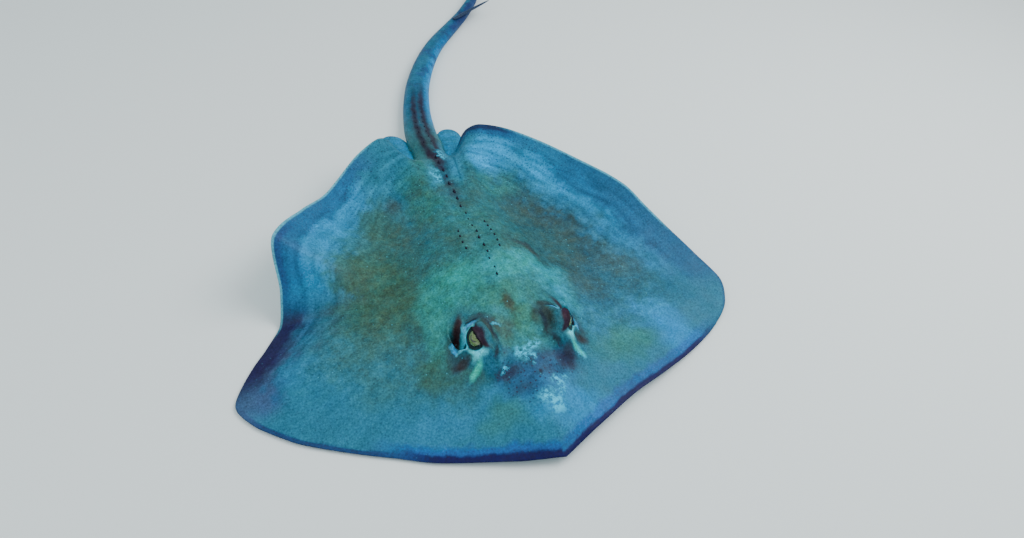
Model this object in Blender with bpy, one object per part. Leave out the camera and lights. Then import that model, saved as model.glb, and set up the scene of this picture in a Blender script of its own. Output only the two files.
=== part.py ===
"""Southern stingray, adult female, life size, resting on its belly.

Metres, +Z up. The head points to -Y and the tail to +Y, so the animal's left is +X.
The origin is on the floor under the middle of the back, where the belly lies flat.
Lengths written as plain fractions are fractions of the disc width.
"""
import math

import bmesh
import bpy
from mathutils import Vector

# ---------------------------------------------------------------- driving sizes
DISC_WIDTH = 0.95
GAP = 0.0004                # metres between neighbouring solids
HALF_GAP = GAP / 2 / DISC_WIDTH
SIDES = {"left": 1.0, "right": -1.0}

# Half outline of the disc, from the snout round the wing tip to the root of the tail:
# (across, along).
OUTLINE = [
    (0.000, -0.326), (0.070, -0.302), (0.170, -0.265), (0.270, -0.226), (0.360, -0.180),
    (0.430, -0.135), (0.485, -0.089), (0.508, -0.036), (0.488, 0.030), (0.445, 0.115),
    (0.385, 0.215), (0.315, 0.320), (0.235, 0.430), (0.170, 0.495), (0.125, 0.519),
    (0.088, 0.527), (0.066, 0.508), (0.052, 0.490), (0.030, 0.486), (0.000, 0.486),
]
DISC_CENTRE_Y = 0.06
FIN_TURN = 0.045            # the fins are turned a little about the spine, left one back
HEAD_TURN = 0.040           # the head is turned a little to its left

# How high the fin margin is lifted off the floor: (way round the outline, height).
MARGIN_RISE = {
    "left": [(0.00, 0.018), (0.14, 0.022), (0.32, 0.004), (0.43, 0.024), (0.54, 0.076),
             (0.67, 0.105), (0.92, 0.103), (0.95, 0.056), (1.00, 0.020)],
    "right": [(0.00, 0.018), (0.18, 0.003), (0.535, 0.003), (0.575, 0.062), (0.620, 0.150),
              (0.70, 0.112), (0.78, 0.072), (0.87, 0.092), (0.92, 0.104), (0.95, 0.058),
              (1.00, 0.020)],
}
# How far the margin is pushed out (+) or gathered in (-) from the even outline.
MARGIN_PUSH = {
    "left": [(0.00, 0.000), (0.06, -0.010), (0.13, -0.013), (0.20, -0.009), (0.27, 0.000),
             (0.34, 0.008), (0.39, 0.003), (0.44, -0.007), (0.52, -0.022), (0.57, -0.015),
             (0.63, 0.000), (1.00, 0.000)],
    "right": [(0.00, 0.000), (0.06, 0.008), (0.15, 0.008), (0.21, 0.002), (0.27, 0.003),
              (0.32, 0.005), (0.37, -0.001), (0.41, 0.001), (0.44, -0.009), (0.47, -0.020),
              (0.50, -0.031), (0.535, -0.035), (0.57, -0.025), (0.615, 0.006), (0.66, 0.006),
              (0.76, 0.003), (0.84, 0.000), (1.00, 0.000)],
}
BELLY_FLAT = 0.42           # share of the way out to the margin that stays on the floor
LIFT_POWER = 1.7            # above 1, the lifted margin bends up gradually
EDGE_THICKNESS = 0.009
EDGE_ROUND_POWER = 30       # the higher, the narrower the rounded rim
FIN_THICKNESS = 0.042       # what the fin adds at its root to the thickness of its edge
FIN_TAPER_POWER = 1.5
SHOULDER_POWER = 2.5        # above 2, the raised body has a flatter top and steeper sides

# The raised body between the fins: (along, height over the fins) and (along, half width).
BODY_HEIGHT = [(-0.326, 0.000), (-0.25, 0.020), (-0.18, 0.040), (-0.11, 0.052), (-0.02, 0.064),
               (0.10, 0.068), (0.25, 0.058), (0.40, 0.056), (0.50, 0.050)]
BODY_HALF_WIDTH = [(-0.326, 0.050), (-0.20, 0.105), (-0.11, 0.132), (0.05, 0.140),
                   (0.25, 0.110), (0.40, 0.078), (0.50, 0.052)]

# Eyes and spiracles: across, along, and their sizes.
EYE = (0.0800, -0.0990, 0.1005)
EYE_RADIUS = 0.0195
ORBIT_RIDGE = (0.076, -0.101, 0.050)
ORBIT_SPREAD = (0.022, 0.038)
SPIRACLE = (0.122, -0.074, 0.022)
SPIRACLE_SPREAD = (0.014, 0.026)

# Borders of the nodes. The fin root is (along, half width between the fins).
FIN_ROOT = [(-0.36, 0.050), (-0.25, 0.090), (-0.17, 0.135), (-0.08, 0.155), (0.05, 0.145),
            (0.25, 0.115), (0.40, 0.088), (0.52, 0.056)]
ROOT_STEP = 0.03            # spacing of the knots that both sides of a fin root share
NECK_Y = -0.015
TAIL_ROOT_Y = 0.478
CUT_FRONT, CUT_REAR, CUT_SIDE = -0.42, 0.60, 0.62
CUT_LOW, CUT_HIGH = -0.05, 0.30

# Tail: route over the floor, and (distance from the root, full width, full height).
TAIL_ROUTE = [
    (0.000, 0.430), (0.002, 0.560), (0.018, 0.680), (0.047, 0.800), (0.095, 0.920),
    (0.160, 1.035), (0.238, 1.135), (0.310, 1.220), (0.370, 1.315), (0.405, 1.425),
    (0.408, 1.540), (0.378, 1.650), (0.340, 1.755), (0.328, 1.865), (0.360, 1.965),
]
TAIL_SIZE = [(0.00, 0.084, 0.056), (0.16, 0.080, 0.046), (0.30, 0.070, 0.044),
             (0.50, 0.058, 0.040), (0.72, 0.045, 0.034), (0.90, 0.034, 0.028),
             (1.15, 0.021, 0.020), (1.45, 0.011, 0.011), (1.75, 0.005, 0.005)]
TAIL_ROOT_CENTRE_Z = 0.046
TAIL_DOWN = (0.06, 0.28)    # distances between which the tail comes down to the floor
TAIL_CUTS = [0.30, 0.55, 0.80, 1.08, 1.36]
TAIL_START_CLEAR = 0.0015   # the first length starts this far behind the trunk's rear face
TAIL_STEP = 0.030
TAIL_CORNERS = 12
TAIL_NAMES = ["tail_base", "tail_mid", "tail_sting_length", "tail_whip_1", "tail_whip_2",
              "tail_whip_3"]
FOLD_SPAN = (0.84, 1.46)    # the skin fold under the whip, by distance from the root
FOLD_DEPTH = 0.010
FOLD_THICKNESS = 0.0026
FOLD_STEPS = 16

# Sting: distance of its root along the tail, its length, width, thickness and side swing.
STING_ROOT = 0.79
STING_LENGTH = 0.160
STING_WIDTH = 0.0140
STING_THICKNESS = 0.0055
STING_SWING = math.radians(19.0)
STING_LIFT = math.radians(4.0)
STING_STEPS = 10
STING_CORNERS = 8

PELVIC_CENTRE = (0.058, 0.532, 0.034)
PELVIC_HALF_SIZE = (0.042, 0.086, 0.010)
PELVIC_TURN = math.radians(-14.0)
PELVIC_REAR, PELVIC_SIDE = 0.75, 0.25
PELVIC_ROOM_END = 0.36      # how far down the tail the pelvic fins are cut clear of it

DISC_SPOKES = 84
DISC_RINGS = 26
RING_CROWDING = 1.35        # above 1, the rings crowd towards the rounded rim

COLOURS = {
    "back": (0.060, 0.150, 0.165), "fin": (0.035, 0.150, 0.230), "tail": (0.040, 0.120, 0.240),
    "eye": (0.420, 0.360, 0.120), "sting": (0.180, 0.160, 0.120),
}


# ---------------------------------------------------------------- small helpers
def slope_at(xs, ys, k):
    """Slope of a smooth line at station k, level at a crest so that it never overshoots."""
    if k == 0 or k == len(xs) - 1:
        near, far = (0, 1) if k == 0 else (k - 1, k)
        return (ys[far] - ys[near]) / (xs[far] - xs[near])
    before, after = xs[k] - xs[k - 1], xs[k + 1] - xs[k]
    rise_in, rise_out = (ys[k] - ys[k - 1]) / before, (ys[k + 1] - ys[k]) / after
    if rise_in * rise_out <= 0:
        return 0.0
    weight_in, weight_out = 2 * after + before, after + 2 * before
    return (weight_in + weight_out) / (weight_in / rise_in + weight_out / rise_out)


def smooth_line(stations, x):
    """Value at x on a smooth line through (x, value) stations."""
    xs = [s[0] for s in stations]
    ys = [s[1] for s in stations]
    if x <= xs[0]:
        return ys[0]
    if x >= xs[-1]:
        return ys[-1]
    i = max(k for k in range(len(xs) - 1) if xs[k] <= x)
    h = xs[i + 1] - xs[i]
    u = (x - xs[i]) / h
    start = (2 * u ** 3 - 3 * u ** 2 + 1) * ys[i] + (u ** 3 - 2 * u ** 2 + u) * h * slope_at(xs, ys, i)
    end = (3 * u ** 2 - 2 * u ** 3) * ys[i + 1] + (u ** 3 - u ** 2) * h * slope_at(xs, ys, i + 1)
    return start + end


def ease(x, low, high):
    """0 below low, 1 above high, smooth between."""
    u = min(max((x - low) / (high - low), 0.0), 1.0)
    return u * u * (3 - 2 * u)


def bump(x, y, centre, spread):
    """A round hill of height 1."""
    return math.exp(-((x - centre[0]) / spread[0]) ** 2 - ((y - centre[1]) / spread[1]) ** 2)


def by_distance(points):
    """(distance, across) and (distance, along) stations of a route in plan."""
    run = 0.0
    across, along = [(0.0, points[0][0])], [(0.0, points[0][1])]
    for a, b in zip(points, points[1:]):
        run += math.dist(a, b)
        across.append((run, b[0]))
        along.append((run, b[1]))
    return across, along, run


def make_material(name, colour, roughness=0.45):
    """A plain Principled material."""
    material = bpy.data.materials.new(name)
    material.use_nodes = True
    shader = material.node_tree.nodes["Principled BSDF"]
    shader.inputs["Base Color"].default_value = (*colour, 1.0)
    shader.inputs["Roughness"].default_value = roughness
    shader.inputs["Metallic"].default_value = 0.0
    return material


def add_object(name, mesh, collection, material=None):
    """Link a mesh as a named, smooth object."""
    obj = bpy.data.objects.new(name, mesh)
    collection.objects.link(obj)
    if material:
        mesh.materials.append(material)
    mesh.shade_smooth()
    return obj


def mesh_from(bm, name):
    """Close off a bmesh as a mesh whose faces point out."""
    bmesh.ops.recalc_face_normals(bm, faces=bm.faces)
    mesh = bpy.data.meshes.new(name)
    bm.to_mesh(mesh)
    bm.free()
    return mesh


def loft(sections, name):
    """A closed tube through rings of points, with flat ends."""
    bm = bmesh.new()
    rings = [[bm.verts.new(p) for p in ring] for ring in sections]
    count = len(rings[0])
    for near, far in zip(rings, rings[1:]):
        for k in range(count):
            n = (k + 1) % count
            bm.faces.new((near[k], near[n], far[n], far[k]))
    bm.faces.new(rings[0])
    bm.faces.new(rings[-1])
    return mesh_from(bm, name)


def prism(points, low, high, name):
    """An upright block over a plan outline, used to keep one region of the body."""
    bm = bmesh.new()
    face = bm.faces.new([bm.verts.new((x, y, low)) for x, y in points])
    lifted = bmesh.ops.extrude_face_region(bm, geom=[face])
    top = [v for v in lifted["geom"] if isinstance(v, bmesh.types.BMVert)]
    bmesh.ops.translate(bm, vec=(0.0, 0.0, high - low), verts=top)
    return mesh_from(bm, name)


# ---------------------------------------------------------------- the disc
OUTLINE_ACROSS, OUTLINE_ALONG, OUTLINE_RUN = by_distance(OUTLINE)


def outline_point(way, side):
    """Margin of the disc at a share of the way from the snout to the tail."""
    run = way * OUTLINE_RUN
    x = smooth_line(OUTLINE_ACROSS, run)
    y = smooth_line(OUTLINE_ALONG, run)
    out_x, out_y = x, y - DISC_CENTRE_Y
    reach = math.hypot(out_x, out_y) or 1.0
    push = smooth_line(MARGIN_PUSH[side], way)
    x += push * out_x / reach
    y += push * out_y / reach
    x *= SIDES[side]
    return x, y + FIN_TURN * x * ease(abs(x), 0.0, 0.2)


def head_turn(y):
    """How far the turned head lies to the animal's left at a place along it."""
    return HEAD_TURN * max(-y, 0.0)


def thickness(x, y, out):
    """Thickness of the animal over its lower surface."""
    side_x = abs(x)
    fin = FIN_THICKNESS * (1.0 - out ** FIN_TAPER_POWER)
    shape = math.exp(-(side_x / smooth_line(BODY_HALF_WIDTH, y)) ** SHOULDER_POWER)
    body = smooth_line(BODY_HEIGHT, y) * shape
    orbit = ORBIT_RIDGE[2] * bump(side_x, y, ORBIT_RIDGE, ORBIT_SPREAD)
    spiracle = SPIRACLE[2] * bump(side_x, y, SPIRACLE, SPIRACLE_SPREAD)
    return EDGE_THICKNESS + fin + body + orbit - spiracle


def disc_point(way, side, out, upper):
    """A point of the disc: out runs from 0 at the middle to 1 at the margin."""
    edge_x, edge_y = outline_point(way, side)
    x = edge_x * out
    y = DISC_CENTRE_Y + (edge_y - DISC_CENTRE_Y) * out
    bend = max(out - BELLY_FLAT, 0.0) / (1.0 - BELLY_FLAT)
    floor_z = smooth_line(MARGIN_RISE[side], way) * bend ** LIFT_POWER
    full = math.sqrt(max(1.0 - out ** EDGE_ROUND_POWER, 0.0))
    half_edge = EDGE_THICKNESS / 2
    if upper:
        z = floor_z + half_edge + (thickness(x, y, out) - half_edge) * full
    else:
        z = floor_z + half_edge * (1.0 - full)
    return Vector((x + head_turn(y), y, z)) * DISC_WIDTH


def build_disc():
    """The whole disc: a UV sphere laid out flat over the outline."""
    bm = bmesh.new()
    bmesh.ops.create_uvsphere(bm, u_segments=DISC_SPOKES, v_segments=DISC_RINGS, radius=1.0)
    for vert in bm.verts:
        turn = math.atan2(vert.co.x, -vert.co.y)
        from_pole = math.acos(min(abs(vert.co.z), 1.0)) / (math.pi / 2)
        out = 1.0 - (1.0 - min(from_pole, 1.0)) ** RING_CROWDING
        upper = vert.co.z > 0
        side = "left" if turn >= 0 else "right"
        vert.co = disc_point(abs(turn) / math.pi, side, out, upper)
    return mesh_from(bm, "disc")


# ---------------------------------------------------------------- the tail
TAIL_ACROSS, TAIL_ALONG, TAIL_RUN = by_distance(TAIL_ROUTE)
TAIL_WIDTH = [(s[0], s[1]) for s in TAIL_SIZE]
TAIL_HEIGHT = [(s[0], s[2]) for s in TAIL_SIZE]


def fold_depth(run):
    """Depth of the skin fold under the whip, tapered at both ends."""
    grow = ease(run, FOLD_SPAN[0] - 0.08, FOLD_SPAN[0] + 0.10)
    fade = 1.0 - ease(run, FOLD_SPAN[1] - 0.20, FOLD_SPAN[1] + 0.08)
    return FOLD_DEPTH * grow * fade


def tail_frame(run):
    """Centre, side direction, half width and half height of the tail."""
    step = 0.004
    x, y = smooth_line(TAIL_ACROSS, run), smooth_line(TAIL_ALONG, run)
    ahead_x = smooth_line(TAIL_ACROSS, run + step) - smooth_line(TAIL_ACROSS, run - step)
    ahead_y = smooth_line(TAIL_ALONG, run + step) - smooth_line(TAIL_ALONG, run - step)
    side = Vector((ahead_y, -ahead_x, 0.0)).normalized()
    half_width = smooth_line(TAIL_WIDTH, run) / 2
    half_height = smooth_line(TAIL_HEIGHT, run) / 2
    on_floor = half_height + fold_depth(run)
    down = ease(run, *TAIL_DOWN)
    z = TAIL_ROOT_CENTRE_Z * (1 - down) + on_floor * down
    return Vector((x, y, z)), side, half_width, half_height


def tail_ring(run, grow):
    """One section of the tail, with a flat at its full height above and below."""
    centre, side, half_width, half_height = tail_frame(run)
    half_width += grow
    half_height += grow
    flat = math.cos(math.pi / TAIL_CORNERS)
    ring = []
    for k in range(TAIL_CORNERS):
        turn = 2 * math.pi * (k + 0.5) / TAIL_CORNERS
        point = centre + side * half_width * math.cos(turn)
        point.z += half_height * math.sin(turn) / flat
        ring.append(point * DISC_WIDTH)
    return ring


def tail_length(start, end, name, grow=0.0):
    """One length of the tail between two distances from its root."""
    count = max(2, round((end - start) / TAIL_STEP))
    runs = [start + (end - start) * k / count for k in range(count + 1)]
    return loft([tail_ring(run, grow) for run in runs], name)


def fold_mesh(start, end, name):
    """The thin skin fold between the whip and the floor."""
    sections = []
    for k in range(FOLD_STEPS + 1):
        run = start + (end - start) * k / FOLD_STEPS
        centre, side, _, half_height = tail_frame(run)
        top = centre.z - half_height - 2 * HALF_GAP
        low = min(0.0, top)
        ring = []
        for across, z in ((-1, low), (1, low), (1, top), (-1, top)):
            point = centre + side * across * FOLD_THICKNESS / 2
            point.z = z
            ring.append(point * DISC_WIDTH)
        sections.append(ring)
    return loft(sections, name)


# ---------------------------------------------------------------- fins, eyes, sting
def pelvic_mesh(sign, name):
    """A rounded pelvic fin: a sphere flattened, widened to the rear and turned out."""
    bm = bmesh.new()
    bmesh.ops.create_uvsphere(bm, u_segments=20, v_segments=10, radius=1.0)
    for vert in bm.verts:
        x, y, z = vert.co
        spread = 0.72 + 0.38 * y
        flat_x = x * PELVIC_HALF_SIZE[0] * spread
        flat_y = y * PELVIC_HALF_SIZE[1]
        turned_x = flat_x * math.cos(PELVIC_TURN) - flat_y * math.sin(PELVIC_TURN)
        turned_y = flat_x * math.sin(PELVIC_TURN) + flat_y * math.cos(PELVIC_TURN)
        vert.co = Vector((
            sign * (PELVIC_CENTRE[0] + turned_x),
            PELVIC_CENTRE[1] + turned_y,
            PELVIC_CENTRE[2] + z * PELVIC_HALF_SIZE[2] * (1.15 - 0.45 * y),
        )) * DISC_WIDTH
    return mesh_from(bm, name)


def sphere_mesh(centre, radius, name):
    """A ball at its place."""
    bm = bmesh.new()
    bmesh.ops.create_uvsphere(bm, u_segments=16, v_segments=10, radius=radius)
    bmesh.ops.translate(bm, vec=centre, verts=bm.verts)
    return mesh_from(bm, name)


def sting_mesh(name):
    """A flattened, pointed spine that lies over the tail and swings out to one side."""
    centre, side, _, half_height = tail_frame(STING_ROOT)
    ahead = Vector((-side.y, side.x, 0.0))
    start = centre + Vector((0, 0, half_height + STING_THICKNESS / 2 + 2 * HALF_GAP))
    run = ahead * math.cos(STING_SWING) + side * math.sin(STING_SWING)
    across = Vector((run.y, -run.x, 0.0))
    sections = []
    for k in range(STING_STEPS + 1):
        u = k / STING_STEPS
        taper = math.sqrt(max(1.0 - u ** 2.6, 0.0004)) * (0.8 + 0.2 * ease(u, 0.0, 0.15))
        middle = start + run * STING_LENGTH * u
        middle.z += STING_LENGTH * u * math.tan(STING_LIFT)
        ring = []
        for corner in range(STING_CORNERS):
            turn = 2 * math.pi * (corner + 0.5) / STING_CORNERS
            point = middle + across * STING_WIDTH / 2 * taper * math.cos(turn)
            point.z += STING_THICKNESS / 2 * taper * math.sin(turn)
            ring.append(point * DISC_WIDTH)
        sections.append(ring)
    return loft(sections, name)


# ---------------------------------------------------------------- parting the body
def root_width(y):
    """Half width between the fin roots, straight between knots ROOT_STEP apart."""
    knot = math.floor(y / ROOT_STEP + 1e-9)
    near = smooth_line(FIN_ROOT, knot * ROOT_STEP)
    far = smooth_line(FIN_ROOT, (knot + 1) * ROOT_STEP)
    return near + (far - near) * (y / ROOT_STEP - knot)


def root_line(start, end, inset):
    """Points down the root of a fin, with the shared knots between the two ends."""
    first, last = math.ceil(start / ROOT_STEP + 1e-6), math.floor(end / ROOT_STEP - 1e-6)
    runs = [start] + [k * ROOT_STEP for k in range(first, last + 1)] + [end]
    return [(root_width(y) + inset, y) for y in runs]


def region(kind, side=1.0):
    """Plan outline of one region of the body, in metres, GAP away from its neighbours."""
    if kind == "fin":
        points = root_line(CUT_FRONT, CUT_REAR, HALF_GAP)
        points += [(CUT_SIDE, CUT_REAR), (CUT_SIDE, CUT_FRONT)]
    elif kind == "pelvic":
        front = TAIL_ROOT_Y + HALF_GAP
        points = [(0.0, front), (0.0, PELVIC_REAR), (PELVIC_SIDE, PELVIC_REAR), (PELVIC_SIDE, front)]
    else:
        start, end = CUT_FRONT, NECK_Y - HALF_GAP
        if kind == "trunk":
            start, end = NECK_Y + HALF_GAP, TAIL_ROOT_Y - HALF_GAP
        left = root_line(start, end, -HALF_GAP)
        points = left + [(-x, y) for x, y in reversed(left)]
    return [(side * x * DISC_WIDTH, y * DISC_WIDTH) for x, y in points]


def keep_inside(obj, block):
    """Keep only what lies inside a block."""
    modifier = obj.modifiers.new("keep", "BOOLEAN")
    modifier.operation = "INTERSECT"
    modifier.solver = "EXACT"
    modifier.object = block


def cut_away(obj, block):
    """Cut a block out of an object."""
    modifier = obj.modifiers.new("cut", "BOOLEAN")
    modifier.operation = "DIFFERENCE"
    modifier.solver = "EXACT"
    modifier.object = block


def add_cutter(name, mesh, cutters):
    """A hidden guide block."""
    obj = add_object(name, mesh, cutters)
    obj.hide_render = True
    obj.display_type = "WIRE"
    return obj


def add_region(name, kind, sign, cutters):
    """The upright block that keeps one region."""
    block = prism(region(kind, sign), CUT_LOW * DISC_WIDTH, CUT_HIGH * DISC_WIDTH, name)
    return add_cutter(name + "_region", block, cutters)


# ---------------------------------------------------------------- the animal
def build_body(parts, cutters, paints):
    """Head, trunk and pectoral fins: one disc, parted with thin cuts."""
    disc = build_disc()
    for name, kind, sign in (("head", "head", 1.0), ("trunk", "trunk", 1.0),
                             ("pectoral_fin_left", "fin", SIDES["left"]),
                             ("pectoral_fin_right", "fin", SIDES["right"])):
        obj = add_object(name, disc.copy(), parts, paints["fin" if kind == "fin" else "back"])
        keep_inside(obj, add_region(name, kind, sign, cutters))
    bpy.data.meshes.remove(disc)


def build_eyes(parts, cutters, paints):
    """An eyeball on each side of the head, in a socket cut for it."""
    radius = EYE_RADIUS * DISC_WIDTH
    for side, sign in SIDES.items():
        centre = Vector((sign * EYE[0] + head_turn(EYE[1]), EYE[1], EYE[2])) * DISC_WIDTH
        add_object("eye_" + side, sphere_mesh(centre, radius, "eye"), parts, paints["eye"])
        socket = sphere_mesh(centre, radius + GAP, "socket")
        cut_away(parts.objects["head"], add_cutter("socket_" + side, socket, cutters))


def build_tail(parts, paints):
    """The tail in its lengths, the skin fold under the whip and the sting."""
    ends = [TAIL_ROOT_Y - TAIL_ROUTE[0][1] + TAIL_START_CLEAR] + TAIL_CUTS + [TAIL_RUN]
    for name, start, end in zip(TAIL_NAMES, ends, ends[1:]):
        mesh = tail_length(start + HALF_GAP, end - HALF_GAP, name)
        add_object(name, mesh, parts, paints["tail"])
    add_object("tail_fold", fold_mesh(*FOLD_SPAN, "tail_fold"), parts, paints["tail"])
    add_object("sting", sting_mesh("sting"), parts, paints["sting"])


def build_pelvic_fins(parts, cutters, paints):
    """A pelvic fin on each side of the tail's root, cut clear of the disc and the tail."""
    room = tail_length(0.0, PELVIC_ROOM_END, "tail_room", grow=2 * HALF_GAP)
    tail_room = add_cutter("tail_room", room, cutters)
    for side, sign in SIDES.items():
        name = "pelvic_fin_" + side
        obj = add_object(name, pelvic_mesh(sign, name), parts, paints["fin"])
        keep_inside(obj, add_region(name, "pelvic", sign, cutters))
        cut_away(obj, tail_room)


def main():
    """Build every node."""
    for obj in list(bpy.data.objects):
        bpy.data.objects.remove(obj, do_unlink=True)
    parts = bpy.data.collections.new("stingray")
    cutters = bpy.data.collections.new("cutters")
    for collection in (parts, cutters):
        bpy.context.scene.collection.children.link(collection)
    paints = {name: make_material(name, colour) for name, colour in COLOURS.items()}
    build_body(parts, cutters, paints)
    build_eyes(parts, cutters, paints)
    build_tail(parts, paints)
    build_pelvic_fins(parts, cutters, paints)


main()
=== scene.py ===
# %% [markdown]
# # A southern stingray, life size
# The animal lies on its belly with the rear margins of its fins lifted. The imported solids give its
# true size and outline. Here they get their looks: one unbroken skin over all the flesh, and the
# eyes, thorns and sting as pieces of their own.
# Every length written as a plain fraction is a fraction of the disc's width, as in the solids, so one
# driving dimension sets the size of everything.

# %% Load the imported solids
import math
import bmesh
import bpy
import numpy as np
from mathutils import Matrix, Vector, kdtree, noise


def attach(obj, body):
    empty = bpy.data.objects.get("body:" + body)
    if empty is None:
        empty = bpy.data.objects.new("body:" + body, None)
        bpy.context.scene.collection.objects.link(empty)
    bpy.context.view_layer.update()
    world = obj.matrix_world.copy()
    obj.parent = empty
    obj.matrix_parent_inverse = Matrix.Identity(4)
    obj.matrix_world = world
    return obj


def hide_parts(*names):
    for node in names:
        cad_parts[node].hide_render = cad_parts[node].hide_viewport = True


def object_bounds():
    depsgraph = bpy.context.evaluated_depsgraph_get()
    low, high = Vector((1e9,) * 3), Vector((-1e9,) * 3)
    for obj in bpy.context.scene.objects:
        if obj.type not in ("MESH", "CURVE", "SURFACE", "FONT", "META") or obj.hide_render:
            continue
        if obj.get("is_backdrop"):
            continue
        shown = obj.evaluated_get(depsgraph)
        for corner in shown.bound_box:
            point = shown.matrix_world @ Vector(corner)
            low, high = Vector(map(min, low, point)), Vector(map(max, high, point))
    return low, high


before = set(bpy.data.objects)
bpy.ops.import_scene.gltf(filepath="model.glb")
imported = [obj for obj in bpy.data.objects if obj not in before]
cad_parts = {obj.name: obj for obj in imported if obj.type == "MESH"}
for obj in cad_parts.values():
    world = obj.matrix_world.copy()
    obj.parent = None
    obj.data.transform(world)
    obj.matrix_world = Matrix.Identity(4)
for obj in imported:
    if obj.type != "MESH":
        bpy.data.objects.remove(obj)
cad_low, cad_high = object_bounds()
DISC_WIDTH = 0.95
MM = 0.001
SIDES = {"left": 1.0, "right": -1.0}
print("solids", sorted(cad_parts))
print("box of the solids in mm", [round(x / MM) for x in cad_high - cad_low])

# %% [markdown]
# ## Smooth lines
# A body has few straight lines, but it can be drawn from few numbers: a handful of stations and a
# smooth line through them. The line is level at each crest, so it never bulges past a station. It
# takes a whole array at once, because the skin has tens of thousands of points.


# %% A smooth line, an ease and a hill
def smooth_line(stations, x):
    """Values at x on a smooth line through (x, value) stations."""
    xs, ys = np.array(stations, float).T
    step = np.diff(xs)
    rise = np.diff(ys) / step
    slope = np.concatenate(([rise[0]], np.zeros(len(xs) - 2), [rise[-1]]))
    for k in range(1, len(xs) - 1):
        if rise[k - 1] * rise[k] > 0:
            near = 2 * step[k] + step[k - 1]
            far = step[k] + 2 * step[k - 1]
            slope[k] = (near + far) / (near / rise[k - 1] + far / rise[k])
    x = np.clip(x, xs[0], xs[-1])
    i = np.clip(np.searchsorted(xs, x, side="right") - 1, 0, len(step) - 1)
    u = (x - xs[i]) / step[i]
    start = (2 * u ** 3 - 3 * u ** 2 + 1) * ys[i] + (u ** 3 - 2 * u ** 2 + u) * step[i] * slope[i]
    end = (3 * u ** 2 - 2 * u ** 3) * ys[i + 1] + (u ** 3 - u ** 2) * step[i] * slope[i + 1]
    return start + end


def ease(x, low, high):
    """0 below low, 1 above high, smooth between."""
    u = np.clip((x - low) / (high - low), 0.0, 1.0)
    return u * u * (3 - 2 * u)


def hill(x, y, place, spread):
    """A round hill of height 1."""
    return np.exp(-((x - place[0]) / spread[0]) ** 2 - ((y - place[1]) / spread[1]) ** 2)


def by_distance(points):
    """(distance, across) and (distance, along) stations of a route in plan, and its length."""
    run = 0.0
    across, along = [(0.0, points[0][0])], [(0.0, points[0][1])]
    for a, b in zip(points, points[1:]):
        run += math.dist(a, b)
        across.append((run, b[0]))
        along.append((run, b[1]))
    return across, along, run


print("a line through 0, 1, 0 at its crest:", float(smooth_line([(0, 0), (1, 1), (2, 0)], 1.0)))

# %% [markdown]
# ## The disc
# A ray's head, trunk and pectoral fins are one flat disc. Its shape is given as four things that can
# each be judged alone: the outline in plan, how high each stretch of the margin is lifted, how thick
# the body is over its lower surface, and how that thickness runs out to a thin margin. These are the
# numbers of the solids, so that the skin lies on them.

# %% The numbers of the disc
OUTLINE = [
    (0.000, -0.326), (0.070, -0.302), (0.170, -0.265), (0.270, -0.226), (0.360, -0.180),
    (0.430, -0.135), (0.485, -0.089), (0.508, -0.036), (0.488, 0.030), (0.445, 0.115),
    (0.385, 0.215), (0.315, 0.320), (0.235, 0.430), (0.170, 0.495), (0.125, 0.519),
    (0.088, 0.527), (0.066, 0.508), (0.052, 0.490), (0.030, 0.486), (0.000, 0.486),
]
OUTLINE_ACROSS, OUTLINE_ALONG, OUTLINE_RUN = by_distance(OUTLINE)
DISC_CENTRE_Y = 0.06
FIN_TURN = 0.045
HEAD_TURN = 0.040
MARGIN_RISE = {
    "left": [(0.00, 0.018), (0.14, 0.022), (0.32, 0.004), (0.43, 0.024), (0.54, 0.076),
             (0.67, 0.105), (0.92, 0.103), (0.95, 0.056), (1.00, 0.020)],
    "right": [(0.00, 0.018), (0.18, 0.003), (0.535, 0.003), (0.575, 0.062), (0.620, 0.150),
              (0.70, 0.112), (0.78, 0.072), (0.87, 0.092), (0.92, 0.104), (0.95, 0.058),
              (1.00, 0.020)],
}
MARGIN_PUSH = {
    "left": [(0.00, 0.000), (0.06, -0.010), (0.13, -0.013), (0.20, -0.009), (0.27, 0.000),
             (0.34, 0.008), (0.39, 0.003), (0.44, -0.007), (0.52, -0.022), (0.57, -0.015),
             (0.63, 0.000), (1.00, 0.000)],
    "right": [(0.00, 0.000), (0.06, 0.008), (0.15, 0.008), (0.21, 0.002), (0.27, 0.003),
              (0.32, 0.005), (0.37, -0.001), (0.41, 0.001), (0.44, -0.009), (0.47, -0.020),
              (0.50, -0.031), (0.535, -0.035), (0.57, -0.025), (0.615, 0.006), (0.66, 0.006),
              (0.76, 0.003), (0.84, 0.000), (1.00, 0.000)],
}
BELLY_FLAT = 0.42
LIFT_POWER = 1.7
EDGE_THICKNESS = 0.009
SKIN_EDGE = 0.0052          # the skin's own margin, thinner than the solid's and inside it
EDGE_ROUND_POWER = 30
FIN_THICKNESS = 0.042
FIN_TAPER_POWER = 1.5
SHOULDER_POWER = 2.5
BODY_HEIGHT = [(-0.326, 0.000), (-0.25, 0.020), (-0.18, 0.040), (-0.11, 0.052), (-0.02, 0.064),
               (0.10, 0.068), (0.25, 0.058), (0.40, 0.056), (0.50, 0.050)]
BODY_HALF_WIDTH = [(-0.326, 0.050), (-0.20, 0.105), (-0.11, 0.132), (0.05, 0.140),
                   (0.25, 0.110), (0.40, 0.078), (0.50, 0.052)]
EYE = (0.0800, -0.0990, 0.1005)
EYE_RADIUS = 0.0195
print("half outline is", round(OUTLINE_RUN * DISC_WIDTH, 3), "m long")

# %% [markdown]
# ## The tail
# The tail is a whip as long again as the disc and half as much more. A route over the floor and a
# table of widths and heights make it. A thin fold of skin hangs under its middle.

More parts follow.
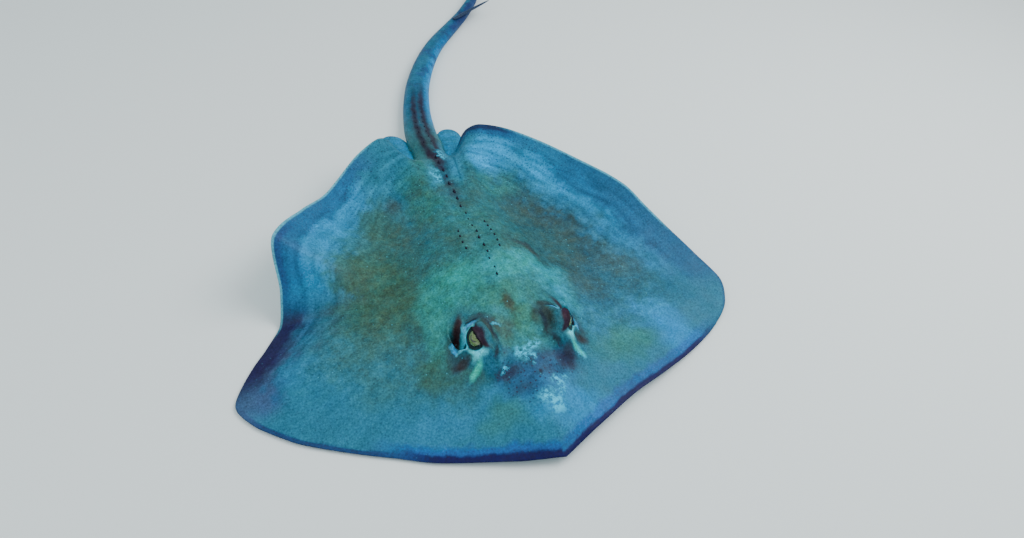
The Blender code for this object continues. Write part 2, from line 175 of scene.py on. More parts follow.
# %% The numbers of the tail
TAIL_ROUTE = [
    (0.000, 0.430), (0.002, 0.560), (0.018, 0.680), (0.047, 0.800), (0.095, 0.920),
    (0.160, 1.035), (0.238, 1.135), (0.310, 1.220), (0.370, 1.315), (0.405, 1.425),
    (0.408, 1.540), (0.378, 1.650), (0.340, 1.755), (0.328, 1.865), (0.360, 1.965),
]
TAIL_ACROSS, TAIL_ALONG, TAIL_RUN = by_distance(TAIL_ROUTE)
TAIL_WIDTH = [(0.00, 0.084), (0.16, 0.080), (0.30, 0.070), (0.50, 0.058), (0.72, 0.045),
              (0.90, 0.034), (1.15, 0.021), (1.45, 0.011), (1.75, 0.005)]
TAIL_HEIGHT = [(0.00, 0.056), (0.16, 0.046), (0.30, 0.044), (0.50, 0.040), (0.72, 0.034),
               (0.90, 0.028), (1.15, 0.020), (1.45, 0.011), (1.75, 0.005)]
TAIL_ROOT_CENTRE_Z = 0.046
TAIL_DOWN = (0.06, 0.28)
FOLD_SPAN = (0.84, 1.46)
FOLD_DEPTH = 0.010
FOLD_THICKNESS = 0.0026


def fold_depth(run):
    """Depth of the skin fold under the whip, tapered at both ends."""
    grow = ease(run, FOLD_SPAN[0] - 0.08, FOLD_SPAN[0] + 0.10)
    fade = 1.0 - ease(run, FOLD_SPAN[1] - 0.20, FOLD_SPAN[1] + 0.08)
    return FOLD_DEPTH * grow * fade


def tail_frame(run):
    """Centre, sideways direction, half width and half height of the tail."""
    step = 0.004
    x, y = smooth_line(TAIL_ACROSS, run), smooth_line(TAIL_ALONG, run)
    ahead_x = smooth_line(TAIL_ACROSS, run + step) - smooth_line(TAIL_ACROSS, run - step)
    ahead_y = smooth_line(TAIL_ALONG, run + step) - smooth_line(TAIL_ALONG, run - step)
    length = np.hypot(ahead_x, ahead_y)
    side = np.stack([ahead_y / length, -ahead_x / length, np.zeros_like(x)], axis=-1)
    half_height = smooth_line(TAIL_HEIGHT, run) / 2
    down = ease(run, *TAIL_DOWN)
    z = TAIL_ROOT_CENTRE_Z * (1 - down) + (half_height + fold_depth(run)) * down
    return np.stack([x, y, z], axis=-1), side, smooth_line(TAIL_WIDTH, run) / 2, half_height


print("tail is", round(TAIL_RUN * DISC_WIDTH, 2), "m along its route")

# %% [markdown]
# ## A flat pattern for the skin
# One skin without a seam could be made by joining solids, but a join leaves a crease. Here it starts
# as a flat pattern, as a glove does: a square grid for the back, another for the belly, sewn together
# along the margin, with a gap left at the rear. The tail's rings are sewn to that gap. Each vertex
# first holds only its place on the pattern. On the disc that is (u, v) in a square from -1 to 1 and
# +1 or -1 for back or belly. On the tail it is (distance, turn round the tail, 2).
# A square grid is used, and not spokes from a centre, because its faces are all about one size.

# %% Turn a place on the square into a place on the disc
GRID = 140                  # faces along one side of the square
RIM_CROWDING = 1.35
HOLE_EDGES = 9              # edges of the gap for the tail, on each side of the midline
HOLE_WAY = 1.0 - HOLE_EDGES / (2 * GRID)
TAIL_CORNERS = 4 * HOLE_EDGES
TAIL_START = 0.058
TAIL_RINGS = 176
ON_TAIL = 2.0
MARGIN_LAYER = 0.1          # layers this near 0 are the sewn margin
FACE_LAYER = 0.6            # a face whose middle is beyond this is clear of the margin
INNER_LAYER = 0.9           # a vertex beyond this is clear of the margin and of the gap
TAIL_LAYER = 1.5            # layers above this are tail
TINY = 1e-6


def square_to_disc(u, v):
    """Way round the outline from snout to tail, side of the animal (+1 left), and share of the way out."""
    reach = np.maximum(np.abs(u), np.abs(v))
    safe = np.where(reach > 0, reach, 1.0)
    to_side, to_rear = np.abs(u) / safe, v / safe
    quarter = np.where(to_side >= np.abs(to_rear), 0.5 + 0.25 * to_rear,
                       np.where(to_rear < 0, 0.25 * to_side, 1.0 - 0.25 * to_side))
    return quarter, np.where(u >= 0, 1.0, -1.0), 1.0 - (1.0 - np.minimum(reach, 1.0)) ** RIM_CROWDING


def for_side(table, side, way):
    """A table's line for each side of the animal."""
    return np.where(side > 0, smooth_line(table["left"], way), smooth_line(table["right"], way))


print("edges of the gap for the tail", TAIL_CORNERS)

# %% [markdown]
# ## The margin in plan
# The outline is one smooth line for both sides, pushed in or out a little on each side alone. At the
# rear it is led over to the corners of the tail's gap, so that disc and tail share those vertices.

# %% Lay the margin and the disc in plan
SEWING_WAY = 0.022          # the margin turns to the gap over this share of the outline
TURNED_FIN = 0.2            # distance from the midline at which a fin is fully turned


def margin_plan(way, side):
    """Margin of the disc in plan. Between the corners of the tail's gap it is the tail's own width."""
    run = way * OUTLINE_RUN
    x, y = smooth_line(OUTLINE_ACROSS, run), smooth_line(OUTLINE_ALONG, run)
    out_x, out_y = x, y - DISC_CENTRE_Y
    reach = np.maximum(np.hypot(out_x, out_y), TINY)
    push = for_side(MARGIN_PUSH, side, way)
    x, y = x + push * out_x / reach, y + push * out_y / reach
    centre, _, half_width, _ = tail_frame(np.array(TAIL_START))
    turn = np.clip((way - HOLE_WAY) / (1 - HOLE_WAY), 0, 1) * math.pi / 2
    sewn = ease(way, HOLE_WAY - SEWING_WAY, HOLE_WAY)
    x = x + (half_width * np.cos(turn) - x) * sewn
    y = y + (centre[1] - y) * sewn
    x = x * side
    return x + centre[0] * sewn, y + FIN_TURN * x * ease(np.abs(x), 0.0, TURNED_FIN) * (1 - sewn)


def disc_plan(u, v):
    """Plan place of a point of the pattern, before the head is turned."""
    way, side, out = square_to_disc(u, v)
    x, y = margin_plan(way, side)
    return x * out, DISC_CENTRE_Y + (y - DISC_CENTRE_Y) * out


tips = [disc_plan(np.array(u), np.array(-0.2))[0] * DISC_WIDTH for u in (-1.0, 1.0)]
print("wing tips near x =", [round(float(t), 3) for t in tips])

# %% [markdown]
# ## Cut and sew the pattern
# The head and the mouth need a finer mesh than the wings. The grid is halved there, in steps, so that
# its size changes gradually.

# %% Sew back, belly and tail into one closed pattern
FINER = [                   # (back +1 or belly -1, half width from, to, along from, to)
    (1, 0.000, 0.170, -0.250, 0.000), (1, 0.050, 0.142, -0.136, -0.028),
    (1, 0.062, 0.134, -0.125, -0.040),
    (-1, 0.000, 0.115, -0.215, 0.095), (-1, 0.000, 0.064, -0.200, -0.118),
    (-1, 0.060, 0.112, -0.086, 0.074),
]


def grid_sheet(bm, layer):
    """A square grid at height layer, whose outer edge is sewn at height 0."""
    made = bmesh.ops.create_grid(bm, x_segments=GRID, y_segments=GRID, size=1.0)["verts"]
    for vert in made:
        vert.co.z = layer
        if max(abs(vert.co.x), abs(vert.co.y)) > 1 - TINY:
            way = square_to_disc(vert.co.x, vert.co.y)[0]
            vert.co.z = 0.5 * layer if way > HOLE_WAY + TINY else 0.0


def halve_faces(bm, region):
    """Halve the faces of one region."""
    layer, near, far, front, rear = region
    faces = [f for f in bm.faces if f.calc_center_median().z * layer > FACE_LAYER]
    middles = np.array([f.calc_center_median()[:2] for f in faces])
    x, y = disc_plan(middles[:, 0], middles[:, 1])
    inside = (np.abs(x) >= near) & (np.abs(x) <= far) & (y >= front) & (y <= rear)
    edges = {edge for face, hit in zip(faces, inside) if hit for edge in face.edges}
    bmesh.ops.subdivide_edges(bm, edges=list(edges), cuts=1, use_grid_fill=True)


pattern = bmesh.new()
for layer in (1.0, -1.0):
    grid_sheet(pattern, layer)
bmesh.ops.remove_doubles(pattern, verts=pattern.verts, dist=1e-5)
for region in FINER:
    halve_faces(pattern, region)
print("faces of the disc", len(pattern.faces))

# %% [markdown]
# ## Sew the tail to the gap
# Every vertex of the gap has a turn round the tail, from left over the top to right and back below.
# Sorted by it, the gap is the first ring of the tail, and the other rings follow at equal steps.

# %% Rings of the tail
def turn_of(u, v, layer):
    """Turn round the tail, in degrees, of a vertex in the gap of the pattern."""
    way, side, _ = square_to_disc(u, v)
    turn = 90 * np.clip((way - HOLE_WAY) / (1 - HOLE_WAY), 0, 1)
    turn = np.where(side > 0, turn, 180 - turn)
    return np.where(layer < 0, 360 - turn, turn) % 360


def bridge(bm, rings):
    """Faces between each ring of vertices and the next."""
    for low_ring, high_ring in zip(rings, rings[1:]):
        for n in range(len(low_ring)):
            m = (n + 1) % len(low_ring)
            bm.faces.new((low_ring[n], low_ring[m], high_ring[m], high_ring[n]))


def sew_tail(bm):
    """Rings of faces from the gap to the tip of the tail."""
    gap = [v for v in bm.verts if v.is_boundary]
    rings = [sorted(gap, key=lambda v: float(turn_of(v.co.x, v.co.y, v.co.z)))]
    for k in range(1, TAIL_RINGS + 1):
        run = TAIL_START + (TAIL_RUN - TAIL_START) * k / TAIL_RINGS
        rings.append([bm.verts.new((run, 360 * n / TAIL_CORNERS, ON_TAIL)) for n in range(TAIL_CORNERS)])
    bridge(bm, rings)
    bm.faces.new(rings[-1])
    return len(gap)


gap_size = sew_tail(pattern)
print("vertices in the gap", gap_size, "of", TAIL_CORNERS, "| open edges",
      sum(not e.is_manifold for e in pattern.edges), "| faces", len(pattern.faces))

# %% [markdown]
# ## Lay the pattern over the body
# Every vertex is now moved to its place in space. Back and belly are height fields over the plan: the
# belly is flat in the middle and rises to the lifted margin, the back is the belly plus the thickness.
# Toward the tail the disc's section turns smoothly into the tail's oval.

# %% Heights of the back and the belly
EDGE_THINS = (0.80, 0.99)   # share of the way out over which the skin's margin thins
LIMB_BLEND = (0.84, 1.00)   # share of the way out over which the rear turns into the tail's oval
LIMB_POWER = 1.6
LIMB_WAY = 0.90             # way round the outline from which it does so


def body_thickness(x, y, out):
    """Thickness of the body above its lower surface, and of its margin alone."""
    edge = EDGE_THICKNESS + (SKIN_EDGE - EDGE_THICKNESS) * ease(out, *EDGE_THINS)
    fin = FIN_THICKNESS * (1 - out ** FIN_TAPER_POWER)
    across = np.abs(x) / smooth_line(BODY_HALF_WIDTH, y)
    body = smooth_line(BODY_HEIGHT, y) * np.exp(-across ** SHOULDER_POWER)
    return edge + fin + body, edge


def place_disc(u, v, layer):
    """Place the disc's vertices. Returns their way round, side, share of the way out and positions."""
    way, side, out = square_to_disc(u, v)
    x, y = disc_plan(u, v)
    across = np.abs(x)
    thickness, edge = body_thickness(x, y, out)
    bend = np.maximum(out - BELLY_FLAT, 0) / (1 - BELLY_FLAT)
    floor_z = for_side(MARGIN_RISE, side, way) * bend ** LIFT_POWER
    full = np.sqrt(np.maximum(1 - out ** EDGE_ROUND_POWER, 0))
    back_z = floor_z + edge / 2 + (thickness - edge / 2) * full
    belly_z = floor_z + edge / 2 * (1 - full)
    back_z = back_z + head_relief(x, y)
    belly_z = belly_z + belly_relief(x, y)
    centre, _, half_width, half_height = tail_frame(np.array(TAIL_START))
    level = np.sqrt(np.maximum(1 - (np.minimum(across / half_width, 1)) ** 2, 0))
    join = ease(out, *LIMB_BLEND) ** LIMB_POWER * ease(way, LIMB_WAY, HOLE_WAY)
    back_z = back_z + (centre[2] + half_height * level - back_z) * join
    belly_z = belly_z + (centre[2] - half_height * level - belly_z) * join
    z = np.where(np.abs(layer) <= MARGIN_LAYER, (back_z + belly_z) / 2, np.where(layer > 0, back_z, belly_z))
    x = x + HEAD_TURN * np.maximum(-y, 0)
    return way, side, out, np.stack([x, y, z], axis=-1)


thickness = body_thickness(np.array(0.0), np.array(0.10), np.array(0.30))[0]
print("body is", round(float(thickness) * DISC_WIDTH / MM), "mm thick behind the head")

# %% [markdown]
# ## The section of the tail
# The tail is an oval in section. Below it hangs a thin fold of skin, and above the whip runs a low
# keel. Both are drawn out of the oval by how far up or down its section a vertex lies.

# %% Place the rings of the tail
FOLD_FLANK = 0.62           # how far down the section the flanks start to draw in to the fold
FOLD_ROOT = 0.80            # and how far down the fold itself starts
KEEL_HEIGHT = 0.0035
KEEL_FOOT = 0.86            # how far up the section the keel starts
KEEL_GROWS, KEEL_FADES = (0.98, 1.06), (1.45, 1.60)
FLOOR_GAP = 0.0002


def place_tail(run, turn):
    """Place the tail's rings, with the skin fold below and a low keel above the whip."""
    centre, side, half_width, half_height = tail_frame(run)
    across, up = np.cos(turn), np.sin(turn)
    depth = fold_depth(run)
    below = np.clip((-up - FOLD_FLANK) / (1 - FOLD_FLANK), 0, 1)
    hang = below ** 0.6 * np.minimum(depth / (FOLD_DEPTH * 0.3), 1)
    flank = half_width * across
    thin = FOLD_THICKNESS / 2 * np.sign(across) * np.minimum(np.abs(across) * 2.2, 1)
    x = flank + (thin - flank) * hang
    z = half_height * up - depth * 0.98 * np.clip((-up - FOLD_ROOT) / (1 - FOLD_ROOT), 0, 1) ** 0.8
    crest = np.clip((up - KEEL_FOOT) / (1 - KEEL_FOOT), 0, 1) ** 1.5
    z = z + KEEL_HEIGHT * crest * ease(run, *KEEL_GROWS) * (1 - ease(run, *KEEL_FADES))
    place = centre + side * x[:, None]
    place[:, 2] = np.maximum(centre[:, 2] + z, FLOOR_GAP)
    return place


print("keel of the whip is", round(KEEL_HEIGHT * DISC_WIDTH / MM, 1), "mm high")


# %% [markdown]
# ## The head
# The eyes stand on two ridges. Just outside and behind each eye is the spiracle, a long pit through
# which the ray draws water when its mouth lies in the sand. Its inner wall is the pale side of the
# ridge, its outer rim is a raised lip, and a flap stands at its front. Between the ridges the skull
# shows as a shallow trough.

# %% Relief of the head, as hills and hollows over the plan
PIT = (0.1085, -0.0720)     # middle of the spiracle
PIT_HALF_SIZE = (0.0115, 0.0300)
PIT_DEPTH = 0.0270
PIT_WALL = (0.35, 1.05)     # share of the half size over which its wall rises
PIT_LEAN = 0.132            # its rear end leans outward by this share of its length
LIP_HEIGHT = 0.0050
LIP_PLACE, LIP_SPREAD = 1.22, 0.22
HEAD_HILLS = [              # (across, along, half width, half length, height)
    (0.076, -0.101, 0.0220, 0.0380, 0.0500),      # ridge of the eye
    (0.083, -0.1300, 0.0120, 0.0120, 0.0090),     # pad in front of the eye
    (0.1130, -0.1060, 0.0080, 0.0100, 0.0110),    # flap at the front of the spiracle
    (0.0970, -0.1040, 0.0090, 0.0160, 0.0070),    # shelf under the eye
    (0.000, -0.0850, 0.0330, 0.0500, -0.0070),    # trough of the skull
    (0.000, -0.1750, 0.0330, 0.0450, 0.0040),     # snout
    (0.0620, -0.1750, 0.0220, 0.0220, -0.0050),   # hollow beside the snout
    (0.045, -0.0300, 0.0200, 0.0300, 0.0030),     # jaw muscles behind the eyes
    (0.0985, -0.0430, 0.0100, 0.0140, 0.0045),    # rear corner of the ridge
]
BACK_HILLS = [
    (0.000, 0.0900, 0.0120, 0.0900, 0.0030),      # nape
    (0.034, 0.1350, 0.0110, 0.0560, 0.0042),      # shoulder girdle
    (0.018, 0.3200, 0.0080, 0.1400, -0.0016),     # furrow beside the spine
    (0.060, 0.4200, 0.0180, 0.0900, 0.0036),      # hip
    (0.128, 0.0600, 0.0220, 0.1200, -0.0040),     # groove between trunk and fin
]


def head_relief(x, y):
    """Hills and hollows of the head and back."""
    across = np.abs(x)
    rise = np.zeros_like(x)
    for hill_x, hill_y, half_width, half_length, height in HEAD_HILLS + BACK_HILLS:
        rise = rise + height * hill(across, y, (hill_x, hill_y), (half_width, half_length))
    outward = across - PIT[0] - PIT_LEAN * (y - PIT[1])
    around = np.hypot(outward / PIT_HALF_SIZE[0], (y - PIT[1]) / PIT_HALF_SIZE[1])
    pit = -PIT_DEPTH * (1 - ease(around, *PIT_WALL))
    lip = LIP_HEIGHT * np.exp(-((around - LIP_PLACE) / LIP_SPREAD) ** 2) * ease(outward, -0.006, 0.004)
    return rise + pit + lip


print("spiracles are", round(PIT_DEPTH * DISC_WIDTH / MM), "mm deep")


# %% [markdown]
# ## The belly
# Mouth, nostrils, five pairs of gill slits and the vent are all on the underside, which a resting
# ray never shows. They are finished from the species: a nasal curtain hangs between the nostrils and
# the mouth, and the gill slits stand in two rows that draw together toward the tail.

# %% Relief of the belly
MOUTH_Y = -0.150
MOUTH_HALF_WIDTH = 0.044
MOUTH_BOW = 0.010           # how far the middle of the mouth lies ahead of its corners
BELLY_HOLLOWS = [           # (across, along, half width, half length, depth)
    (0.0000, MOUTH_Y, 0.0600, 0.0220, 0.0030),    # hollow round the mouth
    (0.0400, -0.1800, 0.0075, 0.0045, 0.0075),    # nostril
    (0.0000, 0.4380, 0.0045, 0.0130, 0.0060),     # vent
]
CURTAIN_Y = -0.1660
GILLS = [(0.098 - 0.0065 * k, -0.075 + 0.034 * k) for k in range(5)]
GILL_BOW = 0.005
GILL_DEPTH = 0.0042


def slit(offset, depth, half_width, along, open_to, closed_at):
    """A groove along a line, closed at its ends."""
    return depth * np.exp(-(offset / half_width) ** 2) * (1 - ease(along, open_to, closed_at))


def belly_relief(x, y):
    """Depth of the mouth, nostrils, gill slits and vent above the flat belly."""
    across = np.abs(x)
    arch = MOUTH_Y - MOUTH_BOW * (1 - (across / MOUTH_HALF_WIDTH) ** 2)
    rise = slit(y - arch, 0.0090, 0.0032, across, MOUTH_HALF_WIDTH * 0.8, MOUTH_HALF_WIDTH)
    rise = rise + slit(y - CURTAIN_Y, 0.0034, 0.0020, across, 0.030, 0.038)
    for hollow_x, hollow_y, half_width, half_length, depth in BELLY_HOLLOWS:
        rise = rise + depth * hill(across, y, (hollow_x, hollow_y), (half_width, half_length))
    for gill_x, gill_y in GILLS:
        bow = gill_y + GILL_BOW * ((across - gill_x) / 0.013) ** 2
        rise = rise + slit(y - bow, GILL_DEPTH, 0.0020, np.abs(across - gill_x), 0.009, 0.0145)
    return rise


print("mouth is", round(2 * MOUTH_HALF_WIDTH * DISC_WIDTH / MM), "mm wide, gill slits on a side:", len(GILLS))


# %% [markdown]
# ## Lids
# A ray's eye looks out sideways under a thick upper lid. The skin near each eye is led round the
# eyeball: inside the opening it dips behind the ball, and all round the opening it stands a lid's
# thickness off it. The upper lid reaches further over the ball than the lower one.

# %% Lead the skin round the eyeball
LID_THICKNESS = 0.0036
LID_REACH = 0.0160          # how far from the ball the skin is still moved
EYE_LOOK = (0.80, -0.22, 0.56)
OPENING = 60.0              # half angle of the opening in degrees
UPPER_LID = 38.0            # how much further the upper lid closes it
LID_ROLL = 0.0026           # height of the rolled edge of a lid
ROLL_ANGLE = 8.0            # degrees from the opening to the roll, and its spread
SOCKET_DEPTH = 0.0030       # how far the skin inside the opening dips behind the ball's surface


def eye_axes(sign):
    """Centre of an eye, and its outward, forward and upward directions."""
    centre = np.array([sign * EYE[0] + HEAD_TURN * max(-EYE[1], 0), EYE[1], EYE[2]])
    look = Vector((sign * EYE_LOOK[0], EYE_LOOK[1], EYE_LOOK[2])).normalized()
    ahead = Vector((0.0, -1.0, 0.0))
    ahead = (ahead - look * ahead.dot(look)).normalized()
    up = ahead.cross(look) * sign
    return centre, np.array(look), np.array(ahead), np.array(up)


def round_eye(place, sign):
    """Distance and direction from an eye, angle off its gaze, how far upward, and the lid's edge there."""
    centre, look, ahead, up = eye_axes(sign)
    offset = place - centre
    distance = np.maximum(np.linalg.norm(offset, axis=1), TINY)
    ray = offset / distance[:, None]
    angle = np.degrees(np.arccos(np.clip(ray @ look, -1, 1)))
    upward = (ray @ up) / np.maximum(np.hypot(ray @ up, ray @ ahead), TINY)
    return distance, ray, angle, upward, OPENING - UPPER_LID * ease(upward, 0.0, 0.9)


def lead_round_eye(place, sign):
    """Move skin near one eye onto its lids."""
    centre = eye_axes(sign)[0]
    distance, ray, angle, upward, opening = round_eye(place, sign)
    near = distance < EYE_RADIUS + LID_REACH
    lid = ease(angle, opening - 7, opening + 3)
    rim = LID_ROLL * np.exp(-((angle - opening - ROLL_ANGLE) / ROLL_ANGLE) ** 2)
    stand = EYE_RADIUS + LID_THICKNESS + rim
    outer = np.maximum(distance, stand)
    hold = (1 - ease(distance, stand, stand + LID_REACH)) * ease(upward, -0.75, 0.10)
    draw = stand + (outer - stand) * ease(outer, stand, stand + LID_REACH)
    outer = outer + (draw - outer) * hold
    sink = 1 - ease(distance, EYE_RADIUS + 0.005, EYE_RADIUS + 0.014)
    inner = distance + (np.minimum(distance, EYE_RADIUS - SOCKET_DEPTH) - distance) * sink
    wanted = inner + (outer - inner) * lid
    moved = centre + ray * wanted[:, None]
    place[near] = moved[near]
    return int(near.sum())


print("lids stand", round(LID_THICKNESS * DISC_WIDTH / MM, 1), "mm off the eyeball")


# %% [markdown]
# ## Put the vertices in place
# The pattern is now placed all at once, as arrays: first the disc, then the tail, and last the skin
# by the eyes, which needs the back in its place to know what lies near the ball.

# %% Place every vertex
kept = np.array([v.co[:] for v in pattern.verts])
on_tail = kept[:, 2] > TAIL_LAYER
on_disc = ~on_tail
places = np.zeros_like(kept)
way, side, out = np.ones(len(kept)), np.ones(len(kept)), np.zeros(len(kept))
way[on_disc], side[on_disc], out[on_disc], places[on_disc] = place_disc(*kept[on_disc].T)
places[on_tail] = place_tail(kept[on_tail, 0], np.radians(kept[on_tail, 1]))
inner_back = on_disc & (kept[:, 2] > INNER_LAYER)
for sign in SIDES.values():
    chosen = places[inner_back]
    moved = lead_round_eye(chosen, sign)
    places[inner_back] = chosen
    print("skin vertices near an eye:", moved)

# %% [markdown]
# ## Soften the rear corners
# Where a fin's rear margin meets the tail, living skin runs over in a smooth web. The height fields
# leave a crease there. It is softened by moving each vertex toward the mean of its neighbours, a few
# dozen times, which rounds the crease and leaves the rest alone.

# %% Soften the crease where the fins meet the tail
CREASES = [(0.046, 0.492, 0.040), (-0.046, 0.492, 0.040)]
CREASE_REACH = 0.060
CREASE_PULL = 0.6
PASSES = 40
pattern.verts.index_update()
pattern.verts.ensure_lookup_table()
off_crease = np.min([np.linalg.norm(places - crease, axis=1) for crease in CREASES], axis=0)
softness = CREASE_PULL * (1 - ease(off_crease, 0.25 * CREASE_REACH, CREASE_REACH))
softness = softness * (kept[:, 2] > -MARGIN_LAYER)
soft = [vert.index for vert in pattern.verts if softness[vert.index] > 0]
around = [[edge.other_vert(pattern.verts[k]).index for edge in pattern.verts[k].link_edges] for k in soft]
for _ in range(PASSES):
    means = np.array([places[near].mean(axis=0) for near in around])
    places[soft] += (means - places[soft]) * softness[soft, None]
for vert, place in zip(pattern.verts, places):
    vert.co = place * DISC_WIDTH
bmesh.ops.recalc_face_normals(pattern, faces=pattern.faces)
if pattern.calc_volume(signed=True) < 0:
    bmesh.ops.reverse_faces(pattern, faces=pattern.faces)
print("vertices softened by the tail's root:", len(soft), "| skin in mm:",
      [[round(float(x)) for x in end * DISC_WIDTH / MM] for end in (places.min(axis=0), places.max(axis=0))])

# %% [markdown]
# ## Unwrap the skin
# The map is laid out like the pattern itself: the back, the belly beside it turned over, the tail
# opened along its left side, all at one scale so that a texture keeps its size everywhere.

# %% UV map of the skin
UV_SCALE = 1 / 1.75
BACK_ORIGIN, BELLY_ORIGIN = (0.300, 0.195), (0.300, 0.690)
TAIL_ORIGIN = (0.620, 0.010)
TAIL_UV_GIRTH = 0.20 * UV_SCALE
HALF_TURN = 180


def tail_numbers(points):
    """(run, turn in degrees) of pattern vertices in the gap or on the tail."""
    on = points[:, 2] > TAIL_LAYER
    turn = np.where(on, points[:, 1], turn_of(points[:, 0], points[:, 1], points[:, 2]))
    return np.where(on, points[:, 0], TAIL_START), turn


def unwrap_skin(mesh, points, plan):
    """Lay the skin's faces on the map."""
    uvs = mesh.uv_layers.new(name="OFBake").data
    run, turn = tail_numbers(points)
    for face in mesh.polygons:
        ids = list(face.vertices)
        if (points[ids, 2] > TAIL_LAYER).any():
            turns = turn[ids]
            if np.ptp(turns) > HALF_TURN:
                turns = np.where(turns < HALF_TURN, turns + 2 * HALF_TURN, turns)
            us = TAIL_ORIGIN[0] + turns / (2 * HALF_TURN) * TAIL_UV_GIRTH
            vs = TAIL_ORIGIN[1] + (run[ids] - TAIL_START) * UV_SCALE
        else:
            upper = points[ids, 2].sum() > 0
            origin, flip = (BACK_ORIGIN, 1) if upper else (BELLY_ORIGIN, -1)
            us = origin[0] + flip * plan[ids, 0] * UV_SCALE
            vs = origin[1] + plan[ids, 1] * UV_SCALE
        for corner, u_value, v_value in zip(face.loop_indices, us, vs):
            uvs[corner].uv = (u_value, v_value)


print("the map is", round(DISC_WIDTH / UV_SCALE, 2), "m along each side")

# %% [markdown]
# ## Make the skin an object
# The flat pattern has done its work and becomes a mesh. Every visible piece is shown the same way,
# smooth in shading unless it has hard edges, and rides on the one body of the still model.

# %% The skin as an object
def mesh_from(bm, name):
    """A finished bmesh as a mesh."""
    mesh = bpy.data.meshes.new(name)
    bm.to_mesh(mesh)
    bm.free()
    return mesh


def add_object(name, data):
    """Mesh, light or camera data as an object of the scene."""
    obj = bpy.data.objects.new(name, data)
    bpy.context.scene.collection.objects.link(obj)
    return obj


def shown(name, mesh, smooth=True):
    """A mesh as an object of the scene, riding on the still body."""
    obj = add_object(name, mesh)
    mesh.polygons.foreach_set("use_smooth", [smooth] * len(mesh.polygons))
    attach(obj, "root")
    return obj


skin_mesh = mesh_from(pattern, "skin")
unwrap_skin(skin_mesh, kept, places)
skin = shown("skin", skin_mesh)
corners = np.empty(2 * len(skin_mesh.loops))
skin_mesh.uv_layers["OFBake"].data.foreach_get("uv", corners)
print("map spans", corners.min().round(3), "to", corners.max().round(3))

# %% [markdown]
# ## Pelvic fins
# A rounded fin shows on each side of the tail's root, from under the rear margin. Each is a flattened
# ball, widened to the rear and turned out, with a thin margin. It is united with the skin, so that
# the flesh stays one closed surface.

# %% Make the pelvic fins and unite them with the skin
PELVIC_CENTRE = (0.058, 0.532, 0.034)
PELVIC_HALF_SIZE = (0.042, 0.086, 0.010)
PELVIC_TURN = math.radians(-14.0)
PELVIC_SPREAD = (0.72, 0.38)      # share of the half width in the middle, and its growth to the rear
PELVIC_TAPER = (1.10, 0.45)       # the same for the thickness, which shrinks to the rear
PELVIC_MARGIN = 0.35              # share of the thickness that is left at the margin
INSIDE_WIDTH, INSIDE_LENGTH = 0.985, 0.99         # the skin lies this much inside the solid fin
PELVIC_ORIGIN = {"left": (0.90, 0.15), "right": (0.90, 0.40)}
LOWER_FACE_SHIFT = 0.5            # the fin's lower face lies this far up the map


def pelvic_fin(side_name):
    """One pelvic fin as a closed mesh with its own place on the map."""
    sign = SIDES[side_name]
    bm = bmesh.new()
    bmesh.ops.create_uvsphere(bm, u_segments=56, v_segments=28, radius=1.0)
    bmesh.ops.triangulate(bm, faces=bm.faces)
    flats = []
    for vert in bm.verts:
        x, y, z = vert.co
        spread = (PELVIC_SPREAD[0] + PELVIC_SPREAD[1] * y) * INSIDE_WIDTH
        flat_x, flat_y = x * PELVIC_HALF_SIZE[0] * spread, y * PELVIC_HALF_SIZE[1] * INSIDE_LENGTH
        turned_x = flat_x * math.cos(PELVIC_TURN) - flat_y * math.sin(PELVIC_TURN)
        turned_y = flat_x * math.sin(PELVIC_TURN) + flat_y * math.cos(PELVIC_TURN)
        thin = PELVIC_MARGIN + (1 - PELVIC_MARGIN) * abs(z) ** 0.5
        rise = z * PELVIC_HALF_SIZE[2] * (PELVIC_TAPER[0] - PELVIC_TAPER[1] * y) * thin
        flats.append((flat_x, flat_y))
        vert.co = Vector((sign * (PELVIC_CENTRE[0] + turned_x), PELVIC_CENTRE[1] + turned_y,
                          PELVIC_CENTRE[2] + rise)) * DISC_WIDTH
    if sign < 0:
        bmesh.ops.reverse_faces(bm, faces=bm.faces)
    mesh = mesh_from(bm, "pelvic_" + side_name)
    uvs = mesh.uv_layers.new(name="OFBake").data
    map_x, map_y = PELVIC_ORIGIN[side_name]
    for face in mesh.polygons:
        shift = 0.0 if face.center.z > PELVIC_CENTRE[2] * DISC_WIDTH else LOWER_FACE_SHIFT
        for corner, index in zip(face.loop_indices, face.vertices):
            flat_x, flat_y = flats[index]
            uvs[corner].uv = (map_x + flat_x * UV_SCALE, (map_y + flat_y * UV_SCALE + shift) % 1.0)
    return add_object("pelvic_" + side_name, mesh)


print("a pelvic fin is", round(2 * PELVIC_HALF_SIZE[1] * DISC_WIDTH / MM), "mm long")

# %% [markdown]
# ## Unite fins and skin
# A boolean union cuts away what lies inside, so that fin and disc share one closed surface. The exact
# solver is used, because the fin meets the skin at a grazing angle.

# %% Unite the pelvic fins with the skin
def unite(obj, tool):
    """Boolean union of a tool into obj."""
    modifier = obj.modifiers.new("unite", "BOOLEAN")
    modifier.operation = "UNION"
    modifier.solver = "EXACT"
    modifier.object = tool
    done = bpy.data.meshes.new_from_object(obj.evaluated_get(bpy.context.evaluated_depsgraph_get()))
    obj.modifiers.clear()
    obj.data = done
    bpy.data.objects.remove(tool)


for side_name in SIDES:
    unite(skin, pelvic_fin(side_name))
skin.data.polygons.foreach_set("use_smooth", [True] * len(skin.data.polygons))
check = bmesh.new()
check.from_mesh(skin.data)
print("skin after the union:", len(check.verts), "vertices,",
      sum(len(f.verts) - 2 for f in check.faces), "triangles, open edges",
      sum(not e.is_manifold for e in check.edges), "| volume in litres",
      round(check.calc_volume() * 1000, 2))
check.free()

